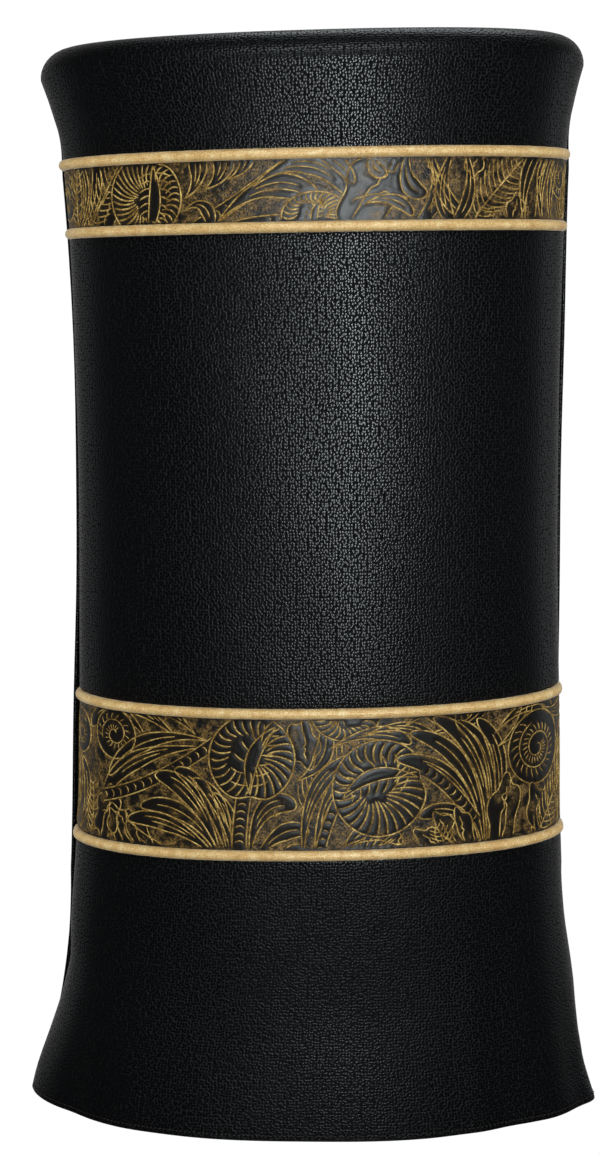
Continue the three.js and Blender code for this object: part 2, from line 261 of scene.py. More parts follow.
def on_mantle(half, share, climb, out):
    """The place of a sheet's point: share runs across the flap, climb up it and over the shoulder.

    Out is the distance off the flap's face. The oval is grown by the shoulder's radius along its
    normal, which turns inwards over the shoulder.
    """
    share, climb, out = np.broadcast_arrays(*[np.asarray(v, float) for v in (share, climb, out)])
    extra, sway = drape(half, share, climb)
    out = out + extra
    side = np.minimum(climb, SIDE_TOP)
    over = np.maximum(0, climb - SIDE_TOP)
    turn = np.minimum(over / SHOULDER, np.pi / 2)
    inward = np.maximum(0, over - SHOULDER * np.pi / 2)
    width, depth = half_sizes(side, half)
    angle = angle_at(half, share, side)
    x, y, nx, ny = oval(angle, width - SHOULDER - inward, depth - SHOULDER - inward)
    reach = (SHOULDER + out) * np.cos(turn)
    x, y = x + nx * reach + sway, y + ny * reach
    height = side + (SHOULDER + out) * np.sin(turn)
    return np.stack([x, y, height + seam_tilt(x, climb)], axis=-1)


def facing(half, share, climb):
    """The unit vector off the leather's face."""
    return unit_rows(on_mantle(half, share, climb, 1 * MM) - on_mantle(half, share, climb, 0))


# ---- Meshes from arrays ----

def make_mesh(name, points, quads, triangles=None, uv=None, values=None):
    """A smooth-shaded object from point and face arrays; uv and values are per point."""
    points = np.asarray(points, np.float32).reshape(-1, 3)
    sizes = [np.full(len(quads), 4)] if len(quads) else []
    corners = [np.asarray(quads).ravel()] if len(quads) else []
    if triangles is not None and len(triangles):
        sizes.append(np.full(len(triangles), 3))
        corners.append(np.asarray(triangles).ravel())
    sizes, corners = np.concatenate(sizes), np.concatenate(corners).astype(np.int32)
    used, corners = np.unique(corners, return_inverse=True)
    mesh = bpy.data.meshes.new(name)
    mesh.vertices.add(len(used))
    mesh.vertices.foreach_set("co", points[used].ravel())
    mesh.loops.add(len(corners))
    mesh.loops.foreach_set("vertex_index", corners.astype(np.int32))
    mesh.polygons.add(len(sizes))
    starts = np.concatenate([[0], np.cumsum(sizes)[:-1]]).astype(np.int32)
    mesh.polygons.foreach_set("loop_start", starts)
    mesh.polygons.foreach_set("use_smooth", np.ones(len(sizes), bool))
    mesh.update(calc_edges=True)
    mesh.validate()
    if uv is not None:
        layer = mesh.uv_layers.new(name="cut")
        layer.data.foreach_set("uv", np.asarray(uv, np.float32).reshape(-1, 2)[used][corners].ravel())
    for key, value in (values or {}).items():
        attribute = mesh.attributes.new(key, "FLOAT", "POINT")
        attribute.data.foreach_set("value", np.asarray(value, np.float32).ravel()[used])
    made = bpy.data.objects.new(name, mesh)
    bpy.context.scene.collection.objects.link(made)
    return made


def grid_quads(rows, columns, wrap=False, start=0):
    """The quads of a grid of points, row by row, joined round its columns where wrap is set."""
    index = start + np.arange(rows * columns).reshape(rows, columns)
    after = np.roll(index, -1, axis=1) if wrap else index[:, 1:]
    before = index if wrap else index[:, :-1]
    return np.stack([before[:-1], after[:-1], after[1:], before[1:]], axis=-1).reshape(-1, 4)


def shell(name, outer, inner, uv=None, values=None):
    """A closed solid between two grids of the same size, whose borders are one line of shared points."""
    rows, columns = outer.shape[:2]
    count = rows * columns
    inner_index = count + np.arange(count).reshape(rows, columns)
    border = np.zeros((rows, columns), bool)
    border[[0, -1], :] = border[:, [0, -1]] = True
    shared = np.where(border, np.arange(count).reshape(rows, columns), inner_index).ravel()
    quads_in = shared[grid_quads(rows, columns)][:, ::-1]
    points = np.concatenate([outer.reshape(-1, 3), inner.reshape(-1, 3)])
    twice = lambda v: np.concatenate([np.asarray(v).reshape(count, -1)] * 2)
    return make_mesh(
        name, points, np.concatenate([grid_quads(rows, columns), quads_in]),
        uv=None if uv is None else twice(uv),
        values={key: twice(value) for key, value in (values or {}).items()},
    )


def sweep(name, path, up, radius, sides=16, twist=None, lobes=0, lobe_depth=0.0, values=None):
    """A closed round cord: circles across the path, whose radius may vary along it, ending in round caps.

    Each circle is spanned by up and by the path's direction crossed with it.
    """
    along = unit_rows(np.gradient(path, axis=0))
    aside = unit_rows(np.cross(along, up))
    above = unit_rows(np.cross(aside, along))
    turn = np.linspace(0, 2 * np.pi, sides, endpoint=False)
    radius = np.broadcast_to(radius, len(path))[:, None]
    spin = 0 if twist is None else np.asarray(twist)[:, None]
    swell = radius * (1 + lobe_depth * np.cos(lobes * (turn[None] + spin)))
    ring = (
        path[:, None]
        + swell[..., None] * (
            np.cos(turn)[None, :, None] * aside[:, None] + np.sin(turn)[None, :, None] * above[:, None]
        )
    )
    points = np.concatenate([ring.reshape(-1, 3), path[:1], path[-1:]])
    count = len(path) * sides
    first = np.arange(sides)
    last = count - sides + first
    caps = np.concatenate([
        np.stack([np.full(sides, count), first, np.roll(first, -1)], axis=1),
        np.stack([np.full(sides, count + 1), np.roll(last, -1), last], axis=1),
    ])
    quads = grid_quads(len(path), sides, wrap=True)[:, ::-1]
    return make_mesh(name, points, quads, caps, values=values)


def edge_steps(reach, count=4):
    """Distances from an edge that follow a quarter circle, for rounding it."""
    return reach * (1 - np.cos(np.linspace(0, np.pi / 2, count + 1)))[:-1]


def with_round_edges(start, end, count, low_reach, high_reach):
    """Even places from start to end, with closer ones at each end where the edge is rounded."""
    low, high = edge_steps(low_reach), edge_steps(high_reach)
    middle = np.linspace(start + low_reach, end - high_reach, count)
    return np.concatenate([start + low, middle, end - high[::-1]])


def roundness(distance, radius):
    """0 at the edge to 1 at a radius in, along a quarter circle."""
    return np.sqrt(np.clip(1 - (1 - np.minimum(distance / radius, 1)) ** 2, 0, 1))


# ---- Leather panels ----

def leather_panel(
    name, half, low, high, columns=160, row_height=6 * MM, hem=False, relief=None, column_width=None
):
    """One piece of leather with rounded, turned side edges.

    The outer and inner faces lie half the thickness either side of a middle surface, and that half
    falls to nothing along a quarter circle at every edge. relief(s, climb) raises the outer face,
    and gives values to store, s being the distance from the flap's middle line.
    """
    bottom_half = TURNED_HALF if hem else HALF_THICK
    length = float(length_at(half, (low + min(high, SIDE_TOP)) / 2))
    if column_width:
        columns = round(length / column_width)
    rows = max(4, round((high - low) / row_height))
    climb = with_round_edges(low, high, rows, bottom_half, HALF_THICK)
    across = with_round_edges(0, length, columns, TURNED_HALF, TURNED_HALF)
    turn_columns = [TURN_IN - 1 * MM, TURN_IN, TURN_IN + 1 * MM]
    across = np.unique(np.concatenate([across, turn_columns, length - np.array(turn_columns)]))
    distance, climb = np.meshgrid(across, climb)
    share = distance / length
    from_side = np.minimum(distance, length - distance)
    turned = 1 - smoothstep(from_side, TURN_IN - 1.5 * MM, TURN_IN + 1.5 * MM)
    if hem:
        turned = np.maximum(turned, 1 - smoothstep(climb - low, TURN_IN - 1.5 * MM, TURN_IN + 1.5 * MM))
    thick = HALF_THICK + (TURNED_HALF - HALF_THICK) * turned
    rounded = (
        roundness(from_side, TURNED_HALF) * roundness(
            climb - low, bottom_half
        ) * roundness(high - climb, HALF_THICK)
    )
    raised, values = 0, {}
    if relief:
        raised, values = relief((share - 0.5) * length_at(half, climb), climb)
    outer = on_mantle(half, share, climb, -thick + thick * rounded + raised * rounded)
    inner = on_mantle(half, share, climb, -thick - thick * rounded)
    uv = np.stack([distance, climb], axis=-1)
    return shell(name, outer, inner, uv, values)


def cloth_sheet(name, half, low, high, depth, thickness, inset, columns=90, row_height=10 * MM, wave=0.0):
    """A thin sheet below the leather's face, its edges inset from the flap's, with soft upright waves."""
    length = float(length_at(half, (low + high) / 2))
    radius = thickness / 2
    climb = with_round_edges(low, high, max(4, round((high - low) / row_height)), radius, radius)
    across = with_round_edges(inset, length - inset, columns, radius, radius)
    distance, climb = np.meshgrid(across, climb)
    share = distance / length
    inside = roundness(np.minimum(distance - inset, length - inset - distance), radius)
    inside = inside * roundness(climb - low, radius) * roundness(high - climb, radius)
    calm = smoothstep(np.minimum(distance - inset, length - inset - distance), 0, 20 * MM)
    calm = calm * smoothstep(climb - low, 0, 15 * MM) * smoothstep(high - climb, 0, 40 * MM)
    waves = wave * calm * (0.5 - 0.5 * np.sin(distance * 95 + 3 * np.sin(climb * 11)) * np.cos(climb * 7 + 1))
    middle = -depth - radius - waves
    uv = np.stack([distance, climb], axis=-1)
    outer = on_mantle(half, share, climb, middle + radius * inside)
    inner = on_mantle(half, share, climb, middle - radius * inside)
    return shell(name, outer, inner, uv)


def piping_height(name):
    """The middle height of a piping at the front's middle line."""
    low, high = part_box(name + "_cover")
    return (low.z + high.z) / 2


PIPINGS = [piping_height(name) for name in PIPING_NAMES]


def dress(piece, body, nodes=(), bends=True):
    """Hides a piece's CAD nodes; a piece of the top, or one whose bends is off, goes on its body, and any other
    only has its place baked into its points.
    """
    if body == "top" or not bends:
        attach(piece, body)
    else:
        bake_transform(piece)
    if nodes:
        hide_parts(*nodes)
    return piece


# ---- Finishes ----

def linear(hex_colour):
    """An sRGB hex colour as the linear RGBA that shaders take."""
    parts = np.array([int(hex_colour[i:i + 2], 16) for i in (1, 3, 5)]) / 255
    parts = np.where(parts <= 0.04045, parts / 12.92, ((parts + 0.055) / 1.055) ** 2.4)
    return (*parts.tolist(), 1.0)


def add_node(tree, kind, inputs=None, stops=None, **settings):
    """Adds a node with its settings, links or values for its inputs, and the stops of its colour ramp."""
    node = tree.nodes.new(kind)
    for key, value in settings.items():
        setattr(node, key, value)
    for key, value in (inputs or {}).items():
        if isinstance(value, bpy.types.NodeSocket):
            tree.links.new(value, node.inputs[key])
        else:
            node.inputs[key].default_value = value
    for i, (position, colour) in enumerate(stops or []):
        stop = node.color_ramp.elements[i] if i < 2 else node.color_ramp.elements.new(position)
        stop.position = position
        stop.color = colour
    return node


def new_finish(name, **values):
    """A material of this name, its shader with these values, and the object's own coordinates in metres."""
    made = bpy.data.materials.new(name)
    made.use_nodes = True
    tree = made.node_tree
    shader = tree.nodes["Principled BSDF"]
    for key, value in values.items():
        shader.inputs[key].default_value = value
    place = add_node(tree, "ShaderNodeTexCoord").outputs["Object"]
    return made, tree, shader, place


def pebbled_cowhide(name):
    """Chrome-tanned cowhide, drum-dyed black and printed with a round pebble grain 2.1 mm across.

    Each pebble falls off as the cube of the distance from its middle, so its flat top glints, and the
    crease round it stays dark: there its base colour is also painted near black, a painted shade.
    """
    made, tree, shader, place = new_finish(name, **{"Specular IOR Level": 0.30})
    colours = bpy.context.scene.mantle_colours
    cut = add_node(tree, "ShaderNodeUVMap", uv_map="cut").outputs["UV"]
    bent = add_node(tree, "ShaderNodeTexNoise", {"Vector": place, "Scale": 1 / (30 * MM), "Detail": 1.0})
    moved = add_node(
        tree, "ShaderNodeVectorMath", {0: bent.outputs["Color"], 1: (2 * MM, 2 * MM, 2 * MM), 2: cut},
        operation="MULTIPLY_ADD",
    )
    cells = add_node(
        tree, "ShaderNodeTexVoronoi",
        {"Vector": moved.outputs[0], "Scale": 1 / (2.1 * MM), "Randomness": 0.64},
        feature="F1", voronoi_dimensions="2D",
    )
    fall = add_node(tree, "ShaderNodeMath", {0: cells.outputs["Distance"], 1: 3.0}, operation="POWER")
    fine = add_node(tree, "ShaderNodeTexNoise", {"Vector": place, "Scale": 1 / (0.9 * MM), "Detail": 2.0})
    wrinkle = add_node(tree, "ShaderNodeTexNoise", {"Vector": place, "Scale": 1 / (14 * MM), "Detail": 3.0})
    height = add_node(
        tree, "ShaderNodeMath", {0: fine.outputs["Fac"], 1: 0.012, 2: fall.outputs[0]},
        operation="MULTIPLY_ADD"
    )
    height = add_node(
        tree, "ShaderNodeMath", {0: wrinkle.outputs["Fac"], 1: -0.03, 2: height.outputs[0]},
        operation="MULTIPLY_ADD"
    )
    bump = add_node(
        tree, "ShaderNodeBump", {"Height": height.outputs[0], "Distance": 0.86 * MM, "Strength": 1.0},
        invert=True
    )
    tree.links.new(bump.outputs["Normal"], shader.inputs["Normal"])
    crease = add_node(
        tree, "ShaderNodeMapRange", {"Value": cells.outputs["Distance"], "From Min": 0.30, "From Max": 0.62},
        interpolation_type="SMOOTHSTEP",
    )
    # painted shade: the base colour falls from the leather's own to near black in the crease round each pebble
    shade = add_node(
        tree, "ShaderNodeMix",
        {0: crease.outputs["Result"], 6: (*colours.leather, 1), 7: (0.001, 0.001, 0.001, 1)},
        data_type="RGBA",
    )
    tree.links.new(shade.outputs[2], shader.inputs["Base Color"])
    dull = add_node(
        tree, "ShaderNodeMapRange", {"Value": crease.outputs["Result"], "To Min": 0.20, "To Max": 0.55},
    )
    tree.links.new(dull.outputs["Result"], shader.inputs["Roughness"])
    return made


def tooled_cowhide(name):
    """Vegetable-tanned cowhide, embossed, stained near black: gilt wax stays in its stippled ground."""
    made, tree, shader, place = new_finish(name, **{"Specular IOR Level": 0.5})
    colours = bpy.context.scene.mantle_colours
    rub = add_node(tree, "ShaderNodeAttribute", attribute_name="rub").outputs["Fac"]
    ground = add_node(tree, "ShaderNodeAttribute", attribute_name="ground").outputs["Fac"]
    patch = add_node(
        tree, "ShaderNodeTexNoise", {"Vector": place, "Scale": 1 / (7 * MM), "Detail": 4.0, "Roughness": 0.65}
    )
    speck = add_node(tree, "ShaderNodeTexNoise", {"Vector": place, "Scale": 1 / (1.3 * MM), "Detail": 2.0})
    dots = add_node(tree, "ShaderNodeTexVoronoi", {"Vector": place, "Scale": 1 / (1.5 * MM)}, feature="F1")
    patchy = add_node(
        tree, "ShaderNodeMapRange", {"Value": patch.outputs["Fac"], "From Min": 0.38, "From Max": 0.62},
        interpolation_type="SMOOTHSTEP",
    )
    specky = add_node(
        tree, "ShaderNodeMapRange", {"Value": speck.outputs["Fac"], "From Min": 0.35, "From Max": 0.65},
    )
    worn = add_node(tree, "ShaderNodeMath", {0: rub, 1: patchy.outputs["Result"]}, operation="MULTIPLY")
    worn = add_node(
        tree, "ShaderNodeMath", {0: worn.outputs[0], 1: specky.outputs["Result"]}, operation="MULTIPLY",
        use_clamp=True
    )
    stained = add_node(
        tree, "ShaderNodeMix", {0: worn.outputs[0], 6: (*colours.tooled, 1), 7: (*colours.worn, 1)},
        data_type="RGBA"
    )
    tree.links.new(stained.outputs[2], shader.inputs["Base Color"])
    dimple = add_node(
        tree, "ShaderNodeMapRange", {"Value": dots.outputs["Distance"], "From Min": 0.15, "From Max": 0.55}
    )
    dimple = add_node(tree, "ShaderNodeMath", {0: dimple.outputs["Result"], 1: ground}, operation="MULTIPLY")
    skin = add_node(tree, "ShaderNodeTexNoise", {"Vector": place, "Scale": 1 / (2.4 * MM), "Detail": 3.0})
    height = add_node(
        tree, "ShaderNodeMath", {0: skin.outputs["Fac"], 1: 0.5, 2: dimple.outputs[0]},
        operation="MULTIPLY_ADD"
    )
    bump = add_node(
        tree, "ShaderNodeBump", {"Height": height.outputs[0], "Distance": 0.2 * MM, "Strength": 0.7}
    )
    tree.links.new(bump.outputs["Normal"], shader.inputs["Normal"])
    gloss = add_node(tree, "ShaderNodeMapRange", {"Value": worn.outputs[0], "To Min": 0.34, "To Max": 0.5})
    tree.links.new(gloss.outputs["Result"], shader.inputs["Roughness"])
    return made


def rubbed_gilt(name):
    """Gilt wax on the raised lines of tooled leather, worn darker here and there: a satin metal gleam."""
    made, tree, shader, place = new_finish(name, Metallic=0.35, Roughness=0.42)
    colours = bpy.context.scene.mantle_colours
    wear = add_node(
        tree, "ShaderNodeTexNoise", {"Vector": place, "Scale": 1 / (9 * MM), "Detail": 4.0, "Roughness": 0.7}
    )
    grain = add_node(tree, "ShaderNodeTexNoise", {"Vector": place, "Scale": 1 / (1.2 * MM), "Detail": 2.0})
    mixed = add_node(
        tree, "ShaderNodeMath", {0: grain.outputs["Fac"], 1: 0.55, 2: wear.outputs["Fac"]},
        operation="MULTIPLY_ADD"
    )
    colour = add_node(
        tree, "ShaderNodeValToRGB", {"Fac": mixed.outputs[0]},
        stops=[(0.52, linear("#3a2a12")), (0.96, (*colours.gilt, 1)), (0.74, linear("#8a6a30"))],
    )
    tree.links.new(colour.outputs["Color"], shader.inputs["Base Color"])
    bump = add_node(
        tree, "ShaderNodeBump", {"Height": grain.outputs["Fac"], "Distance": 0.1 * MM, "Strength": 0.6}
    )
    tree.links.new(bump.outputs["Normal"], shader.inputs["Normal"])
    return made


def gold_lame(name):
    """Woven lame over cord, a grain of fine metallic threads mottled from ochre to champagne."""
    made, tree, shader, place = new_finish(
        name, Metallic=0.2, Roughness=0.5, **{"Coat Weight": 0.5, "Coat Roughness": 0.36, "Sheen Weight": 0.2,
                                              "Sheen Roughness": 0.4}
    )
    colours = bpy.context.scene.mantle_colours
    thread = add_node(tree, "ShaderNodeTexNoise", {"Vector": place, "Scale": 1 / (0.9 * MM), "Detail": 2.0})
    cloud = add_node(tree, "ShaderNodeTexNoise", {"Vector": place, "Scale": 1 / (6 * MM), "Detail": 3.0})
    mixed = add_node(
        tree, "ShaderNodeMath", {0: cloud.outputs["Fac"], 1: 0.5, 2: thread.outputs["Fac"]},
        operation="MULTIPLY_ADD"
    )
    colour = add_node(
        tree, "ShaderNodeValToRGB", {"Fac": mixed.outputs[0]},
        stops=[(0.45, linear("#a67a3e")), (1.0, linear("#e2cc9a")), (0.72, (*colours.piping, 1))],
    )
    tree.links.new(colour.outputs["Color"], shader.inputs["Base Color"])
    bump = add_node(
        tree, "ShaderNodeBump", {"Height": thread.outputs["Fac"], "Distance": 0.12 * MM, "Strength": 0.7}
    )
    tree.links.new(bump.outputs["Normal"], shader.inputs["Normal"])
    return made


def woven(name, colour, pitch, roughness, sheen=0.0, shine=0.5):
    """Plain or satin cloth on the piece's own cut: threads cross at the pitch, with a little unevenness."""
    made, tree, shader, place = new_finish(
        name, **{"Roughness": roughness, "Sheen Weight": sheen, "Specular IOR Level": shine}
    )
    cut = add_node(tree, "ShaderNodeUVMap", uv_map="cut").outputs["UV"]
    warp = add_node(
        tree, "ShaderNodeTexWave",
        {"Vector": cut, "Scale": math.pi / 10 / pitch, "Distortion": 0.4, "Detail": 1.0},
        bands_direction="X",
    )
    weft = add_node(
        tree, "ShaderNodeTexWave",
        {"Vector": cut, "Scale": math.pi / 10 / pitch, "Distortion": 0.4, "Detail": 1.0},
        bands_direction="Y",
    )
    weave = add_node(
        tree, "ShaderNodeMath", {0: warp.outputs["Fac"], 1: weft.outputs["Fac"]}, operation="MAXIMUM"
    )
    cloud = add_node(tree, "ShaderNodeTexNoise", {"Vector": place, "Scale": 1 / (12 * MM), "Detail": 3.0})
    shade = add_node(
        tree, "ShaderNodeMix",
        {0: cloud.outputs["Fac"], 6: colour, 7: tuple(min(1, c * 1.5) for c in colour[:3]) + (1,)},
        data_type="RGBA",
    )
    tree.links.new(shade.outputs[2], shader.inputs["Base Color"])
    bump = add_node(
        tree, "ShaderNodeBump", {"Height": weave.outputs[0], "Distance": pitch / 5, "Strength": 0.5}
    )
    tree.links.new(bump.outputs["Normal"], shader.inputs["Normal"])
    return made


def black_satin(name):
    """Polyester lining satin: smooth threads 0.5 mm apart, drawn coarser than real, and a silky sheen."""
    return woven(name, (*bpy.context.scene.mantle_colours.lining, 1), 0.5 * MM, 0.34, sheen=0.2, shine=0.7)


def stiffener_canvas(name):
    """Cotton buckram: an open plain weave with 1 mm threads, matt and starchy."""
    return woven(name, linear("#c9c1ac"), 1.0 * MM, 0.9)


def cotton_cord(name):
    """Bleached cotton filler cord, twisted from three strands: matt, with fine fibres."""
    made, tree, shader, place = new_finish(name, Roughness=0.92, **{"Sheen Weight": 0.3})
    fibre = add_node(tree, "ShaderNodeTexNoise", {"Vector": place, "Scale": 1 / (0.7 * MM), "Detail": 3.0})
    colour = add_node(
        tree, "ShaderNodeValToRGB", {"Fac": fibre.outputs["Fac"]},
        stops=[(0.3, linear("#cfc6b2")), (0.7, linear("#efe9dc"))],
    )
    tree.links.new(colour.outputs["Color"], shader.inputs["Base Color"])
    bump = add_node(tree, "ShaderNodeBump", {"Height": fibre.outputs["Fac"], "Distance": 0.15 * MM})
    tree.links.new(bump.outputs["Normal"], shader.inputs["Normal"])
    return made


def waxed_thread(name):
    """Bonded nylon sewing thread, waxed: nearly black with a dull shine."""
    made, tree, shader, place = new_finish(name, Roughness=0.5)
    ply = add_node(
        tree, "ShaderNodeTexWave", {"Vector": place, "Scale": math.pi / 10 / (0.5 * MM)},
        bands_direction="DIAGONAL"
    )
    thread = (*bpy.context.scene.mantle_colours.thread, 1)
    # painted shade: the colour darkens to near black in the grooves between the twisted plies, where the bump
    # sinks
    colour = add_node(
        tree, "ShaderNodeMix", {0: ply.outputs["Fac"], 6: linear("#0d0b0a"), 7: thread}, data_type="RGBA"
    )
    tree.links.new(colour.outputs[2], shader.inputs["Base Color"])
    bump = add_node(tree, "ShaderNodeBump", {"Height": ply.outputs["Fac"], "Distance": 0.08 * MM})
    tree.links.new(bump.outputs["Normal"], shader.inputs["Normal"])
    return made


def birch_plywood(name):
    """Birch plywood, sawn and sanded: pale long grain on its faces and plies 1.2 mm thick at its edges."""
    made, tree, shader, place = new_finish(name, Roughness=0.62)
    stretched = add_node(tree, "ShaderNodeMapping", {"Vector": place, "Scale": (9.0, 160.0, 160.0)})
    grain = add_node(
        tree, "ShaderNodeTexNoise", {"Vector": stretched.outputs["Vector"], "Scale": 1.0, "Detail": 5.0}
    )
    plies = add_node(
        tree, "ShaderNodeTexWave", {"Vector": place, "Scale": math.pi / 10 / (2.4 * MM)}, bands_direction="Z"
    )
    colour = add_node(
        tree, "ShaderNodeValToRGB", {"Fac": grain.outputs["Fac"]},
        stops=[(0.35, linear("#c09a68")), (0.62, linear("#e0c193"))],
    )
    banded = add_node(
        tree, "ShaderNodeMix", {0: plies.outputs["Fac"], 6: (0.55, 0.5, 0.45, 1), 7: (1, 1, 1, 1)},
        data_type="RGBA"
    )
    both = add_node(
        tree, "ShaderNodeMix", {0: 0.6, 6: colour.outputs["Color"], 7: banded.outputs[2]},
        data_type="RGBA", blend_type="MULTIPLY",
    )
    tree.links.new(both.outputs[2], shader.inputs["Base Color"])
    bump = add_node(
        tree, "ShaderNodeBump", {"Height": grain.outputs["Fac"], "Distance": 0.1 * MM, "Strength": 0.4}
    )
    tree.links.new(bump.outputs["Normal"], shader.inputs["Normal"])
    return made


def polyurethane_foam(name):
    """Cut upholstery foam: open cells under 1 mm, matt, yellowed unevenly."""
    made, tree, shader, place = new_finish(name, Roughness=0.95, **{"Subsurface Weight": 0.08})
    cells = add_node(tree, "ShaderNodeTexVoronoi", {"Vector": place, "Scale": 1 / (1.1 * MM)}, feature="F1")
    cloud = add_node(tree, "ShaderNodeTexNoise", {"Vector": place, "Scale": 1 / (40 * MM), "Detail": 3.0})
    colour = add_node(
        tree, "ShaderNodeValToRGB", {"Fac": cloud.outputs["Fac"]},
        stops=[(0.35, linear("#d8cf9f")), (0.65, linear("#ece5c2"))],
    )
    tree.links.new(colour.outputs["Color"], shader.inputs["Base Color"])
    bump = add_node(tree, "ShaderNodeBump", {"Height": cells.outputs["Distance"], "Distance": 0.5 * MM})
    tree.links.new(bump.outputs["Normal"], shader.inputs["Normal"])
    return made


def finish(piece, make):
    """Gives the piece the material that make builds, which is made once."""
    name = make.__name__
    piece.data.materials.clear()
    piece.data.materials.append(bpy.data.materials.get(name) or make(name))
    return piece


# ---- Tooling: lines and shapes in millimetres on the flat band, s to the right and v up ----

LINE_STEP = 1.2            # between a line's points
SPREAD = 4.5               # how far a line is felt in the leather beside it
MARGIN = 8                 # of the rasters past the band's edges

def bezier(points, count=24):
    """A Bezier curve: the points weighted by Bernstein's polynomials."""
    points = np.asarray(points, float)
    order = len(points) - 1
    t = np.linspace(0, 1, count)[:, None]
    return sum(math.comb(order, i) * (1 - t) ** (order - i) * t ** i * points[i] for i in range(order + 1))


def polyline_lengths(points):
    """The length along a line at each of its points."""
    return np.concatenate([[0], np.cumsum(np.linalg.norm(np.diff(points, axis=0), axis=1))])


def resampled(points, step):
    """The same line with even steps."""
    along = polyline_lengths(points)
    at = np.linspace(0, along[-1], max(3, round(along[-1] / step) + 1))
    return np.stack([np.interp(at, along, points[:, i]) for i in range(points.shape[1])], axis=1)


def at_share(points, share):
    """Places and unit directions at shares of a line's length."""
    along = polyline_lengths(points)
    way = unit_rows(np.gradient(points, axis=0))
    at = np.asarray(share, float) * along[-1]
    place = np.stack([np.interp(at, along, points[:, i]) for i in (0, 1)], axis=-1)
    return place, unit_rows(np.stack([np.interp(at, along, way[:, i]) for i in (0, 1)], axis=-1))


def turned_left(vectors):
    """Each direction turned a quarter turn to the left."""
    return np.stack([-vectors[..., 1], vectors[..., 0]], axis=-1)


def inside(points, polygon):
    """Which points lie in a closed polygon, by counting the edges that a ray to the right crosses."""
    x, y = points[..., 0, None], points[..., 1, None]
    x0, y0 = polygon[:, 0], polygon[:, 1]
    x1, y1 = np.roll(x0, -1), np.roll(y0, -1)
    straddles = (y0 > y) != (y1 > y)
    rise = np.where(y1 == y0, 1, y1 - y0)
    return (straddles & (x < x0 + (y - y0) * (x1 - x0) / rise)).sum(axis=-1) % 2 == 1


